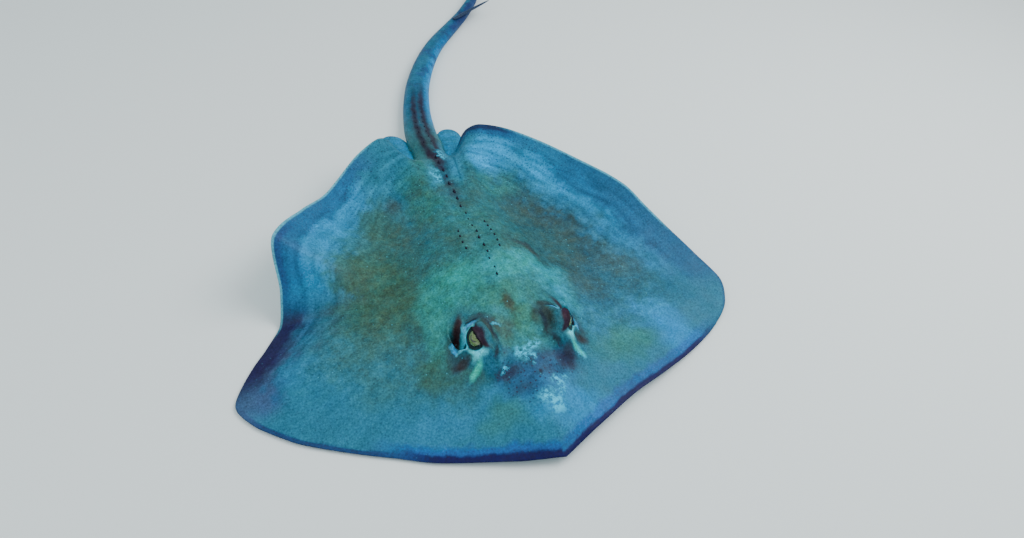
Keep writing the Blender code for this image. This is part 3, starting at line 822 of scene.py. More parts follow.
# %% [markdown]
# ## Where each part of the skin is
# The markings are painted by rule, from where a point lies on the animal. The union has renumbered
# the vertices, so each looks up its nearest one in the pattern.

# %% Look up plan place, way round the outline and depth in from the margin
ON_SKIN = 0.004             # metres within which a vertex is one of the pattern's own
FACING_UP = 0.1             # upward share of a normal
tree = kdtree.KDTree(len(places))
for index, place in enumerate(places):
    tree.insert(place * DISC_WIDTH, index)
tree.balance()
count = len(skin.data.vertices)
spots, normals = np.empty(3 * count), np.empty(3 * count)
skin.data.vertices.foreach_get("co", spots)
skin.data.vertex_normals.foreach_get("vector", normals)
spots = spots.reshape(-1, 3)
facing_up = normals.reshape(-1, 3)[:, 2] > FACING_UP
nearest = np.array([tree.find(spot)[1:] for spot in spots])
source = nearest[:, 0].astype(int)
is_pelvic = nearest[:, 1] > ON_SKIN
run, turn = tail_numbers(kept)
X, Y = spots[:, 0] / DISC_WIDTH, spots[:, 1] / DISC_WIDTH
X = X - HEAD_TURN * np.maximum(-Y, 0)
WAY, SIDE, OUT, LAYER = way[source], side[source], out[source], kept[source, 2]
RUN, TURN = run[source], np.radians(turn[source])
TAIL = (LAYER > TAIL_LAYER) & ~is_pelvic
BACK = (LAYER > -MARGIN_LAYER) & ~TAIL & ~is_pelvic
BELLY = (LAYER < -MARGIN_LAYER) & ~is_pelvic
edge_x, edge_y = margin_plan(WAY, SIDE)
DEPTH = (1 - OUT) * np.hypot(edge_x, edge_y - DISC_CENTRE_Y)
print("vertices on back, belly, tail, pelvic fins:",
      [int(group.sum()) for group in (BACK, BELLY, TAIL, is_pelvic)])

# %% [markdown]
# ## The colours of the back
# Under blue water light the olive-brown back reads as teal, bluer toward the margins and greener over
# the head. The pattern is soft: broad olive and brown clouds on the wings, a pale green halo behind
# the head, indigo bands along the margin, blue-white patches of slime on the snout and dark rings
# round the eyes. An image could hold it, but a rule keeps its grain at any distance. So each marking
# is one line of a table: a soft oval, or a band along the margin.

# %% Colours by their hex codes
WATER_LIGHT = np.array([0.62, 0.88, 0.90])       # share of red, green and blue that deep water leaves


def linear(code):
    """An sRGB hex colour as linear numbers."""
    parts = np.array([int(code[k:k + 2], 16) for k in (1, 3, 5)]) / 255
    return np.where(parts <= 0.04045, parts / 12.92, ((parts + 0.055) / 1.055) ** 2.4)


TRUNK, WING = "#2d7679", "#2a7490"
print("ground colour of the wings", linear(WING).round(3))

# %% [markdown]
# ## Patches of the back
# Broad patches come first and small ones last, as each is laid over those before it. A strength under
# 1 lets the ones below show through.

# %% Table of patches
PATCHES = [        # (across, along, half width, half length, turn in degrees, colour, strength)
    (0.00, 0.10, 0.150, 0.300, 0, TRUNK, 0.95),
    (-0.36, 0.02, 0.110, 0.070, 20, "#2676a0", 0.60),        # front of the right wing
    (-0.275, 0.250, 0.060, 0.110, 35, "#2294c0", 0.75),      # rear of the right wing
    (-0.385, 0.090, 0.040, 0.060, 0, "#3a6a94", 0.60),
    (-0.460, -0.050, 0.030, 0.050, 0, "#30487c", 0.60),      # tip of the right wing, darkened partly as painted shade that runs on along the fold
    (0.33, 0.05, 0.140, 0.160, 0, "#22647e", 0.75),          # middle of the left wing
    (0.34, 0.12, 0.070, 0.170, 30, "#1c6a90", 0.40),
    (-0.21, 0.10, 0.120, 0.190, 12, "#42624e", 0.92),        # olive cloud, right wing
    (-0.17, 0.29, 0.070, 0.100, 20, "#42604e", 0.75),
    (-0.30, 0.00, 0.090, 0.090, 20, "#46706c", 0.55),
    (-0.23, -0.11, 0.080, 0.050, 20, "#44706a", 0.45),
    (0.17, 0.17, 0.100, 0.180, 0, "#37585a", 0.85),          # brown cloud, left wing
    (0.235, 0.190, 0.050, 0.190, 28, "#3d5258", 0.80),       # its outer part, along the wing's ridge
    (0.305, 0.055, 0.040, 0.090, 28, "#3a6672", 0.40),
    (0.098, 0.108, 0.012, 0.062, 40, "#40333e", 0.70),       # dark arc round the halo
    (0.100, 0.345, 0.045, 0.060, 0, "#3b7c74", 0.70),
    (0.20, 0.30, 0.060, 0.060, -25, "#36606a", 0.60),
    (0.21, 0.06, 0.060, 0.090, -18, "#3a5560", 0.55),
    (0.22, -0.13, 0.060, 0.045, 0, "#3b7c74", 0.80),         # olive spot, left front
    (0.335, -0.125, 0.070, 0.050, -30, "#008ccc", 0.75),     # bright tip of the left wing, partly a painted highlight
    (0.300, -0.065, 0.050, 0.025, -30, "#1892c8", 0.60),
    (0.135, 0.445, 0.070, 0.045, 30, "#0ca8e6", 0.90),
    (0.235, 0.350, 0.085, 0.050, -50, "#14a2da", 0.90),      # rear lobe, its bright blue partly a painted highlight
    (0.295, 0.255, 0.030, 0.150, 24, "#2398cc", 0.75),
    (-0.065, 0.33, 0.030, 0.120, 3, "#397868", 0.65),        # green stripe beside the spine
    (-0.040, 0.44, 0.022, 0.070, 0, "#3a7a66", 0.80),
    (0.055, 0.30, 0.030, 0.130, -3, "#35686a", 0.60),
    (-0.13, 0.335, 0.022, 0.022, 0, "#454f54", 0.60),
    (0.13, 0.300, 0.024, 0.024, 0, "#2d4f60", 0.50),
    (-0.10, 0.045, 0.075, 0.055, 25, "#309c94", 0.80),       # halo behind the head
    (0.06, 0.055, 0.090, 0.045, -8, "#30a2a6", 0.85),
    (0.135, 0.000, 0.040, 0.070, 0, "#2a98ac", 0.75),
    (-0.145, -0.03, 0.030, 0.080, -8, "#3a968e", 0.75),
    (0.00, -0.075, 0.068, 0.062, 0, "#37888a", 0.90),        # olive crown
    (0.016, -0.070, 0.016, 0.045, 0, "#4a7a58", 0.50),
    (-0.028, -0.085, 0.018, 0.030, 0, "#4c5c48", 0.60),
    (-0.01, -0.010, 0.080, 0.030, 0, "#418270", 0.65),
    (-0.165, -0.12, 0.050, 0.060, 0, "#42624e", 0.75),       # olive beside the right spiracle
    (-0.120, -0.165, 0.040, 0.030, 20, "#3f5f46", 0.65),
    (0.150, -0.13, 0.040, 0.040, 0, "#3d7b74", 0.50),
    (0.00, -0.185, 0.080, 0.050, 0, "#2470a0", 0.85),        # snout
    (0.010, -0.163, 0.085, 0.027, 0, "#303c5a", 0.60),
    (-0.06, -0.235, 0.060, 0.035, 10, "#3d7b72", 0.60),
    (0.06, -0.255, 0.100, 0.035, -14, "#0e88c0", 0.80),
    (-0.19, -0.215, 0.120, 0.040, 17, "#2a80a8", 0.55),
    (0.000, -0.033, 0.014, 0.024, 0, "#4a4433", 0.85),       # brown spot on the nape
    (-0.012, -0.075, 0.010, 0.016, 0, "#4c4f42", 0.50),
    (0.066, -0.163, 0.024, 0.020, 0, "#2c1c3a", 0.85),       # dark blots beside the snout
    (0.078, -0.150, 0.014, 0.016, 0, "#2a2038", 0.65),
    (-0.052, -0.165, 0.026, 0.015, 0, "#30223e", 0.75),
    (0.009, -0.183, 0.005, 0.005, 0, "#15121f", 0.90),
    (-0.030, -0.200, 0.034, 0.012, 0, "#333c54", 0.55),
    (0.030, -0.180, 0.030, 0.012, 0, "#2c3450", 0.55),
]
print("patches", len(PATCHES))

# %% [markdown]
# ## Patches round the eyes
# Brown, maroon and pale marks lie in the same places on both sides of the head, so one table serves
# both. They pick out the ridge, the walls of the pit behind the eye and the pads in front of it.

# %% Table of patches round the eyes
EYE_PATCHES = [    # the same, but on both sides of the head
    (0.0660, -0.0850, 0.0300, 0.0420, 0, "#3c4a4c", 0.60),       # brown round the ridge over the eye
    (0.1260, -0.0950, 0.0140, 0.0420, 0, "#3a3040", 0.50),
    (0.0570, -0.0780, 0.0100, 0.0340, -4, "#43302c", 0.70),
    (0.0680, -0.0480, 0.0200, 0.0085, 0, "#33262e", 0.65),
    (0.1040, -0.0520, 0.0090, 0.0300, 24, "#45181e", 0.92),      # maroon groove behind the eye, its darkness partly painted shade in the pit
    (0.1160, -0.0740, 0.0080, 0.0260, 14, "#3a121e", 0.88),
    (0.0985, -0.0740, 0.0060, 0.0210, 12, "#58e0ff", 0.98),      # pale inner wall of the pit
    (0.1225, -0.0860, 0.0044, 0.0130, -14, "#38b4ec", 0.97),     # pale lip round the pit
    (0.1100, -0.1010, 0.0130, 0.0046, 16, "#70e4ff", 0.98),
    (0.1040, -0.0900, 0.0070, 0.0080, 0, "#120610", 0.97),       # dark bottom of the pit, painted shade in its depth
    (0.0850, -0.0640, 0.0130, 0.0055, 0, "#58b8f8", 0.90),       # painted highlight on the skin over the rear of the ridge
    # painted shade: a dark line in the groove behind the ridge
    (0.0800, -0.0560, 0.0160, 0.0040, 0, "#1c2038", 0.85),
    (0.0500, -0.0900, 0.0040, 0.0330, -8, "#1e2034", 0.80),      # painted shade: dark lines in the groove round the ridge, inside the lid
    (0.0580, -0.1300, 0.0045, 0.0180, 26, "#221c30", 0.75),
    (0.0400, -0.0700, 0.0090, 0.0220, -6, "#3c3428", 0.60),      # brown inner corner
    (0.0870, -0.1220, 0.0150, 0.0140, 0, "#70f0ff", 0.99),       # pad in front of the eye, painted bright as a highlight
    (0.1000, -0.1440, 0.0160, 0.0070, -38, "#38d4c0", 0.92),     # pale stripe
    (0.1170, -0.1200, 0.0180, 0.0100, 0, "#3a1c20", 0.85),       # dark red-brown patch under the flap
    (0.0480, -0.0620, 0.0080, 0.0120, 0, "#3a3a44", 0.55),
]
print("patches round each eye", len(EYE_PATCHES))

# %% [markdown]
# ## Bands along the margin
# Indigo and blue bands follow the margin, other ones on the left than on the right. Each is given by
# the stretch of outline it follows and by its depth in from the margin.

# %% Table of bands
BANDS = [          # (side, way from, way to, depth, roughness of its edge, colour, strength)
    ("left", 0.44, 0.90, 0.150, 0.35, "#2690c4", 0.45),
    ("left", 0.41, 0.76, 0.078, 0.16, "#235c84", 0.85),
    ("left", 0.74, 0.90, 0.040, 0.30, "#28648c", 0.60),
    ("left", 0.43, 0.66, 0.105, 0.30, "#235c84", 0.45),
    ("left", 0.00, 0.36, 0.030, 0.20, "#2456a4", 0.60),
    # dark indigo rim of the front margin: its own dark colour, with painted shade under the turned-down lip
    ("left", 0.00, 0.36, 0.011, 0.22, "#160e4c", 0.98),
    ("left", 0.35, 0.50, 0.006, 0.20, "#27507f", 0.60),
    ("left", 0.83, 0.955, 0.030, 0.30, "#23407a", 0.50),
    ("left", 0.84, 0.955, 0.014, 0.25, "#1a1c48", 0.80),
    # painted highlight: a thin pale line along the lit edge of the lifted rear margin
    ("left", 0.52, 0.86, 0.004, 0.10, "#6fc4dc", 0.60),
    ("right", 0.00, 0.26, 0.030, 0.25, "#2050a4", 0.70),
    # dark indigo rim of the front margin: its own dark colour, with painted shade under the turned-down lip
    ("right", 0.00, 0.24, 0.016, 0.22, "#160e4c", 0.98),
    ("right", 0.20, 0.42, 0.010, 0.20, "#1c3068", 0.85),
    # painted shade: dark slate and purple bands from the right wing's tip along its raised fold
    ("right", 0.38, 0.50, 0.085, 0.35, "#4a5a82", 0.85),
    ("right", 0.42, 0.58, 0.130, 0.45, "#3a4660", 0.50),
    ("right", 0.43, 0.57, 0.060, 0.40, "#241444", 0.92),
    ("right", 0.56, 0.84, 0.110, 0.30, "#1e90c8", 0.70),
    ("right", 0.82, 0.93, 0.110, 0.30, "#2a7890", 0.60),
    ("right", 0.57, 0.88, 0.052, 0.30, "#2c6290", 0.85),
    ("right", 0.56, 0.66, 0.020, 0.30, "#2c3a70", 0.60),
    # painted highlight: a thin pale line along the lit edge of the lifted rear margin
    ("right", 0.53, 0.90, 0.004, 0.10, "#7fd4e6", 0.65),
]
print("bands", len(BANDS))

# %% [markdown]
# ## Brushes
# No marking on a living hide has a drawn edge. Two brushes lay the colours on: a soft oval, and a mix
# of one colour over chosen points. Slow noises of three sizes shift the place that they are given, so
# that every edge wanders.

# %% Soft ovals, mixing and wandering edges
EDGE_SIZES = {"broad": (0.070, 0.026), "middle": (0.024, 0.0140), "fine": (0.010, 0.0050)}
OVAL_FADE = (0.35, 1.35)    # share of an oval's size over which it fades


def slow_noise(points, size, seed):
    """A slow random value at each point."""
    return np.array([noise.noise(Vector(point / size) + Vector((seed, 0, 0))) for point in points])


def soft_oval(x, y, across, along, half_width, half_length, turned=0):
    """A soft oval of height 1."""
    c, s = math.cos(math.radians(turned)), math.sin(math.radians(turned))
    u = ((x - across) * c + (y - along) * s) / half_width
    v = (-(x - across) * s + (y - along) * c) / half_length
    return 1 - ease(np.hypot(u, v), *OVAL_FADE)


def wet(code):
    """A colour as deep water shows it."""
    return linear(code) * WATER_LIGHT


def lay_over(colours, code, share):
    """Mix one colour over the rest by a share for each point."""
    return colours + (wet(code) - colours) * share[:, None]


def painted_in(code):
    """One colour at every point."""
    return np.tile(wet(code), (count, 1))


def line(values, centre, half_width):
    """A soft line where the values pass the centre."""
    return np.exp(-((values - centre) / half_width) ** 2)


ruffle = {name: [slow_noise(spots, size, seed) for seed in (3.1, 8.7)]
          for name, (size, _) in EDGE_SIZES.items()}
wander = {name: [value * EDGE_SIZES[name][1] for value in pair] for name, pair in ruffle.items()}
shift = {axis: sum(pair[axis] for pair in wander.values()) for axis in (0, 1)}
print("edges wander by up to", round(float(np.abs(shift[0]).max() * DISC_WIDTH / MM)), "mm")

# %% [markdown]
# ## Paint the back
# The colours are laid on like a painter's: the ground first, then the clouds, the bands of the margin
# and the marks round the eyes. Last come faint streaks along the rear margins, where the skin is
# stretched by the fin's wave.

# %% Clouds, bands and streaks of the back
SMALL = 0.04                # patches smaller than this have a fine edge
BAND_STARTS, BAND_ENDS = (-0.02, 0.03), (-0.04, 0.02)
FRONT_FADE = 0.09           # bands from the snout fade over this share of the outline
colours = painted_in(WING)
for *shape, code, strength in PATCHES:
    small = max(shape[2:4]) < SMALL
    px, py = (X + wander["fine"][0], Y + wander["fine"][1]) if small else (X + shift[0], Y + shift[1])
    colours = lay_over(colours, code, soft_oval(px, py, *shape) * strength * BACK)
for band_side, start, end, depth, rough, code, strength in BANDS:
    along = ease(WAY, start + BAND_STARTS[0], start + BAND_STARTS[1])
    along = along * (1 - ease(WAY, end + BAND_ENDS[0], end + BAND_ENDS[1]))
    if start == 0:
        along = 1 - ease(WAY, end - FRONT_FADE, end)
    uneven = np.maximum(1 + sum(pair[0] for pair in ruffle.values()) * rough, 0.3)
    inward = 1 - ease(DEPTH / (depth * uneven), 0.90 - rough, 1.10)
    here = BACK & (SIDE * SIDES[band_side] > 0)
    colours = lay_over(colours, code, strength * along * inward * here)
for *shape, code, strength in EYE_PATCHES:
    px, py = np.abs(X) + wander["fine"][0] / 2, Y + wander["fine"][1] / 2
    colours = lay_over(colours, code, soft_oval(px, py, *shape) * strength * BACK)
streaks = 0.55 * slow_noise(np.stack([DEPTH, WAY * 0.22, SIDE * 5.0], axis=-1), 0.0085, 5.3)
streaks = streaks * ease(WAY, 0.36, 0.52) * ease(DEPTH, 0.012, 0.040) * (1 - ease(DEPTH, 0.12, 0.22))
colours = colours * (1 + streaks * BACK)[:, None]
print("average back colour", colours[BACK].mean(axis=0).round(3))

# %% [markdown]
# ## Paint the lids
# The very edge of the opening is painted black, painted shade where the lid folds in against the ball.
# The upper lid is maroon under a grey fold. The lower one is painted pale, a painted highlight on the
# lit skin under the eye. These rings are laid by the angle off the eye's gaze, the same measure that
# shaped the lids, so that they follow them exactly.

# %% Rings round the eyes
for sign in SIDES.values():
    distance, _, angle, upward, opening = round_eye(spots / DISC_WIDTH, sign)
    close = (1 - ease(distance, EYE_RADIUS + 0.008, EYE_RADIUS + 0.015)) * BACK
    over = ease(upward, -0.10, 0.35)
    rim = 4 + 5 * over
    # the pale ring of the lower lid is a painted highlight, the black ring at the opening painted shade
    rings = [          # (colour, strength, degrees outside the opening where it starts to fade, and ends)
        ("#3a6a78", 0.85 * over, 66, 90), ("#360a26", 0.97 * over, 34, 52),
        ("#70f0ff", 0.92 * (1 - over), 40, 60), ("#0b090f", 0.97, rim - 2, rim + 3),
    ]
    for code, strength, near, far in rings:
        ring = close * (1 - ease(angle, opening + near, opening + far))
        colours = lay_over(colours, code, strength * ring)
print("rings round each eye", len(rings))

# %% [markdown]
# ## Slime and freckles
# Blue-white slime sits in patches on the snout and beside the spine, and the snout is freckled. The
# material breaks both up finely. Only where they lie is worked out here.

# %% Where the slime and the freckles lie
SLIME = [          # (across, along, half width, half length)
    (-0.010, -0.137, 0.016, 0.014), (0.014, -0.124, 0.015, 0.011), (0.002, -0.150, 0.007, 0.016),
    (0.006, -0.222, 0.020, 0.014), (0.016, -0.240, 0.018, 0.018), (0.036, -0.196, 0.018, 0.009),
    (0.034, -0.212, 0.010, 0.018), (-0.038, -0.072, 0.010, 0.005), (0.104, -0.150, 0.010, 0.012),
    (-0.050, -0.160, 0.008, 0.005), (-0.022, 0.380, 0.010, 0.030), (0.019, 0.470, 0.010, 0.030),
]
FRECKLED_SNOUT = (0.01, -0.175, 0.100, 0.060)
slime_x, slime_y = X + wander["fine"][0] * 1.6, Y + wander["fine"][1] * 1.6
slime = np.max([soft_oval(slime_x, slime_y, *shape) for shape in SLIME], axis=0) * BACK
snout = soft_oval(X + shift[0], Y + shift[1], *FRECKLED_SNOUT)
freckles = np.maximum(snout, 0.35 + 0.40 * ease(Y, 0.25, 0.42)) * BACK
print("vertices under slime", int((slime > 0.5).sum()))

# %% [markdown]
# ## Paint the belly
# The belly is white with a sooty margin, a blush round the mouth and the gills, and darker openings.

# %% Belly, soot, blush and openings
PALE = "#e4ecea"
BLUSHES = [(0.0, -0.155, 0.075, 0.045), (0.085, 0.0, 0.030, 0.09)]
colours = lay_over(colours, PALE, 1.0 * BELLY)
soot = 1 - ease(DEPTH * (1 + ruffle["broad"][0] * 0.5 + ruffle["fine"][0] * 0.2), 0.006, 0.055)
soot = soot * (1 - ease(WAY, 0.930, 0.965))
blush = np.max([hill(np.abs(X), Y, shape[:2], shape[2:]) for shape in BLUSHES], axis=0)
openings = np.clip(belly_relief(X, Y) / GILL_DEPTH, 0, 1) ** 1.5
for code, share in (("#3c5a70", 0.85 * soot), ("#e0b4a8", 0.45 * blush), ("#5a2f38", 0.85 * openings)):
    colours = lay_over(colours, code, share * BELLY)
print("vertices in the openings of the belly", int((openings * BELLY > 0.5).sum()))

# %% [markdown]
# ## Paint the tail
# The tail is deep blue with violet mottling and a dark length further out, and its left flank, the side
# that faces the light, is painted brighter as painted light. Its root and the rear of the back share
# one grey-teal tone, one dark line along the spine and one pair of maroon streaks, so that no step in
# colour shows where the disc turns into the tail.

# %% Tail, root and spine
ROOT_TONE = "#3c7478"
ROOT_HALF_WIDTH = 0.033
STREAKS = [(0.34, 0.28, 0.45), (-0.27, 0.26, 0.42)]          # (across, half width, end along the tail)
upward, leftward = np.sin(TURN), np.cos(TURN)
mottle = ruffle["middle"][0] + ruffle["fine"][0] * 0.6
tail_tone = painted_in("#256c8c")
for code, share in (
        # painted light: the left flank, which faces the light, is brighter
        ("#1088c4", ease(leftward, 0.15, 0.85) * ease(RUN, 0.12, 0.26) * (1 - ease(RUN, 0.62, 0.85))),
        ("#2a4478", 0.75 * ease(mottle, -0.1, 0.7) * ease(RUN, 0.25, 0.45)),
        ("#232a62", 0.80 * ease(leftward + 0.5 * mottle, -0.6, 0.4) * ease(RUN, 0.50, 0.85)),
        (ROOT_TONE, 0.90 * (1 - ease(RUN, 0.08, 0.30)))):
    tail_tone = lay_over(tail_tone, code, share)
aside = np.where(TAIL, leftward, X / ROOT_HALF_WIDTH)
at_root = ease(OUT, 0.72, 0.97) * ease(WAY, 0.935, 0.965) * BACK
# painted light: the left side of the root is lighter, as the lit side
root_tone = lay_over(painted_in(ROOT_TONE), "#2478a0", 0.6 * ease(aside, -0.1, 0.6))
colours = colours + (root_tone - colours) * at_root[:, None]
hips = line(np.abs(X + 0.006 * mottle), 0.028, 0.011) * ease(Y, 0.32, 0.40) * BACK
colours = lay_over(colours, "#2f8ab4", 0.60 * hips * (1 - at_root))
spine = line(X + 0.004 * mottle, 0.0, 0.0120) * ease(Y, 0.22, 0.32) * BACK
colours = lay_over(colours, "#2a1434", 0.95 * spine * np.clip(0.80 + 0.8 * mottle, 0.35, 1))
tail_tone = tail_tone + (root_tone - tail_tone) * (1 - ease(RUN, 0.04, 0.14))[:, None]
colours = np.where(TAIL[:, None], tail_tone, colours)
for centre_line, half_width, far in STREAKS:
    on_the_tail = (upward > 0) * (1 - ease(RUN, far - 0.14, far + 0.02))
    along = np.where(TAIL, on_the_tail, ease(Y, 0.37, 0.46) * BACK)
    streak = line(aside + 0.12 * mottle, centre_line, half_width)
    colours = lay_over(colours, "#2b0d28", 0.96 * streak * along)
under = ease(-upward, 0.35, 0.80) * (1 - ease(RUN, 0.55, 0.95)) * TAIL
colours = lay_over(colours, PALE, (1.0 - 0.15 * ease(RUN, 0.0, 0.15)) * under)
print("average tail colour", colours[TAIL].mean(axis=0).round(3))

# %% [markdown]
# ## Paint the pelvic fins and hand the layers over
# A pelvic fin is blue above and pale below. In the crease beside it the union has left belly skin
# facing up, which is painted as the fin is. The colours and shares are then stored on the vertices,
# where the material reads them.

# %% Pelvic fins and the layers for the material
FAINT = 0.18                # share of the back's mottling that the belly shows
BY_THE_FINS = 0.90          # way round the outline from which the belly may belong to the crease
fin_top = (is_pelvic | (BELLY & (WAY > BY_THE_FINS))) & facing_up
colours = np.where(is_pelvic[:, None], wet(PALE), colours)
colours = np.where(fin_top[:, None], wet("#1f7ea6"), colours)
back_share = np.where(BACK | fin_top, 1.0, FAINT)
spoke = np.maximum(np.hypot(X, Y - DISC_CENTRE_Y), 1e-4)


def add_layers(mesh, layers):
    """One number for each vertex under each name, for the materials to read."""
    for name, values in layers.items():
        layer = mesh.attributes.new(name, "FLOAT", "POINT")
        layer.data.foreach_set("value", np.asarray(values, np.float32))


painted = skin.data.color_attributes.new("hide", "FLOAT_COLOR", "POINT")
painted.data.foreach_set("color", np.hstack([colours, np.ones((count, 1))]).astype(np.float32).ravel())
add_layers(skin.data, {
    "back": np.where(TAIL, np.maximum(1 - under, FAINT), back_share),
    "slime": slime,
    "freckles": freckles,
    "spoke_across": X / spoke,
    "spoke_along": (Y - DISC_CENTRE_Y) / spoke,
    "outward": np.where(TAIL | is_pelvic, 0.9, OUT * BACK),
    "dusty": 0.25 + 0.75 * ease(Y, -0.06, 0.10),
    "calm": np.where(TAIL, 0.5, ease(DEPTH, 0.05, 0.20)),
})
print("upper face of the pelvic fins:", int(fin_top.sum()), "vertices")

# %% [markdown]
# ## Materials
# A material is a small net of nodes that ends at a shader. All of them are made by one function: its
# settings are the node's own attributes, or its sockets, and a socket takes either a value or the
# output of an earlier node.

# %% One function for every node
def plug(made, settings):
    """Give a node its settings: attributes, the stops of a ramp, and sockets by number or identifier."""
    for name, value in settings.items():
        if name == "stops":
            elements = made.color_ramp.elements
            while len(elements) < len(value):
                elements.new(0.5)
            for element, (position, colour) in zip(elements, value):
                element.position = position
                element.color = (*(colour if np.ndim(colour) else (colour,) * 3), 1.0)
        elif isinstance(name, str) and hasattr(made, name):
            setattr(made, name, value)
        else:
            socket = next(s for k, s in enumerate(made.inputs) if name in (k, s.identifier))
            if isinstance(value, bpy.types.NodeSocket):
                made.id_data.links.new(value, socket)
            else:
                socket.default_value = (*value, 1.0) if socket.type == "RGBA" else value


def node(net, kind, settings, output=None):
    """Add a node with its settings and links, and return its first output or the named one."""
    made = net.nodes.new("ShaderNode" + kind)
    plug(made, settings)
    return next(s for s in made.outputs if output in (None, s.identifier))


def new_material(name, settings):
    """A material with uniform values on its shader, its net, and the place of each point."""
    material = bpy.data.materials.new(name)
    material.use_nodes = True
    net = material.node_tree
    shader = next(n for n in net.nodes if n.type == "BSDF_PRINCIPLED")
    plug(shader, settings)
    return material, net, shader, node(net, "TexCoord", {}, "Object")


print("every node is added by the function", node.__name__)


# %% [markdown]
# ## Wet skin
# Ray skin is smooth flesh under a coat of slime. It is wet but finely grained, so its shine is broad
# and weak, with a thin clear coat for the slime. The painted colours hold the broad pattern. Noises
# of a few sizes, each given in millimetres, are laid over it, or say where silt, freckles and slime
# lie. Faint rays spread from the middle of the disc, as the fin rays under the skin do.

# %% Noises and dots of the skin
GRAINS = {         # size in mm, octaves, roughness, and ramp from the noise to what it is used as
    "clouds": (38, 5, 0.65, [(0.32, 0.74), (0.50, 1.0), (0.68, 1.24)]),
    "blotches": (12, 5, 0.75, [(0.32, 0.66), (0.50, 1.0), (0.70, 1.34)]),
    "specks": (3.4, 3, 0.7, [(0.30, 0.66), (0.50, 1.0), (0.72, 1.40)]),
    "tint": (20, 5, 0.7, [(0.35, (1.22, 0.97, 0.84)), (0.65, (0.76, 1.02, 1.14))]),
    "silt": (85, 6, 0.7, [(0.40, 0.0), (0.62, 1.0)]),
    "foam": (9, 6, 0.75, [(0.46, 0.0), (0.56, 1.0)]),
    "wetness": (30, 3, 0.5, [(0.35, 0.46), (0.65, 0.62)]),
    "pores": (1.8, 3, 0.6, None),
    "folds": (9, 3, 0.6, None),
}
DOTS = {           # spacing in mm, and ramp from the distance to a dot's middle
    "dark dots": (7, [(0.16, 1.0), (0.30, 0.0)]),
    "bright dots": (15, [(0.050, 1.0), (0.085, 0.0)]),
}
skin_material, net, shader, place = new_material("wet ray skin", {
    "Roughness": 0.55, "Coat Weight": 0.04, "Coat Roughness": 0.30, "Specular IOR Level": 0.13})
part = {name: node(net, "Attribute", {"attribute_name": name}, "Fac")
        for name in ("back", "slime", "freckles", "spoke_across", "spoke_along", "outward", "dusty", "calm")}
for name, (size_mm, octaves, rough, stops) in GRAINS.items():
    part[name] = node(net, "TexNoise", {"Vector": place, "Scale": 1 / (size_mm * MM), "Detail": octaves,
                                        "Roughness": rough})
    if stops:
        part[name] = node(net, "ValToRGB", {"Fac": part[name], "stops": stops})
for name, (spacing_mm, stops) in DOTS.items():
    reach = node(net, "TexVoronoi", {"Vector": place, "Scale": 1 / (spacing_mm * MM), "Randomness": 1.0})
    part[name] = node(net, "ValToRGB", {"Fac": reach, "stops": stops})
lean = node(net, "Math", {"operation": "MULTIPLY", 0: part["outward"], 1: 0.16})
spokes = node(net, "CombineXYZ", {"X": part["spoke_across"], "Y": part["spoke_along"], "Z": lean})
part["rays"] = node(net, "TexNoise", {"Vector": spokes, "Scale": 34.0, "Detail": 5.0, "Roughness": 0.65})
for name, source_name, stops in (
        ("streaks", "rays", [(0.36, 0.92), (0.50, 1.0), (0.64, 1.08)]),
        ("inner", "outward", [(0.0, 0.45), (0.55, 0.45), (0.78, 0.0)]),
        ("outer", "outward", [(0.10, 0.0), (0.35, 1.0)])):
    part[name] = node(net, "ValToRGB", {"Fac": part[source_name], "stops": stops})
part["calmed"] = node(net, "Math", {"operation": "MULTIPLY_ADD", 0: part["calm"], 1: 0.75, 2: 0.25})
print("patterns of the skin", len(part))

# %% [markdown]
# ## Lay the patterns over the paint
# Each pattern has a share, which says where and how strongly it shows. A multiplied coat darkens or
# lightens what lies under it and keeps its hue. A mixed coat covers it, as silt and slime do. The
# finest noises also raise the surface, because pores and rays catch the light.

# %% Put the skin's colour, shine and relief together
PRODUCTS = {       # each is the product of the parts named
    "broken": ("back", "calmed"),
    "silt share": ("silt", "inner", "back", "dusty"),
    "streak share": ("outer", "back"),
    "freckle share": ("dark dots", "freckles", 0.75),
    "slime share": ("foam", "slime"),
    "fleck share": ("bright dots", "broken", 0.55),
    "ray height": ("rays", "streak share"),
    "slime height": ("slime share", 0.8),
}
COATS = [          # (way of mixing, share, pattern or colour), from the deepest up
    ("MULTIPLY", "broken", "clouds"), ("MIX", "silt share", "#42564a"),
    ("MULTIPLY", "streak share", "streaks"), ("MULTIPLY", "broken", "blotches"),
    ("MULTIPLY", "broken", "tint"), ("MULTIPLY", "back", "specks"),
    ("MIX", "freckle share", "#241a33"), ("MIX", "slime share", "#28ccf4"),
    ("MIX", "fleck share", "#54c8e0"),
]
for name, (first, *rest) in PRODUCTS.items():
    part[name] = part[first]
    for term in rest:
        part[name] = node(net, "Math", {"operation": "MULTIPLY", 0: part[name], 1: part.get(term, term)})
tone = node(net, "Attribute", {"attribute_name": "hide"}, "Color")
for blend, share, coat in COATS:
    tone = node(net, "Mix", {"data_type": "RGBA", "blend_type": blend, "Factor_Float": part[share],
                             "A_Color": tone, "B_Color": part[coat] if coat in part else linear(coat)},
                "Result_Color")
height = part["pores"]
for name in ("folds", "ray height", "slime height"):
    height = node(net, "Math", {"operation": "ADD", 0: height, 1: part[name]})
relief = node(net, "Bump", {"Height": height, "Strength": 0.45, "Distance": 0.9 * MM})
plug(shader, {"Base Color": tone, "Roughness": part["wetness"], "Normal": relief})
skin.data.materials.clear()
skin.data.materials.append(skin_material)
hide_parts(*[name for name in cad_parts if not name.startswith(("eye", "sting"))])
print("skin replaces", len(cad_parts) - 3, "solids with", len(net.nodes), "nodes of colour")

# %% [markdown]
# ## Eyes
# A ray's iris is gold with a black rim, and a flap hangs over the pupil so that only a crescent of it
# is open. The eye is wet and clear, so it has a hard, glossy coat. The eyeball is one ball with a
# slight bulge for the cornea. Its pattern is drawn by rule from how far a point lies ahead of, above
# and off the middle of the gaze, which turns with the ball.

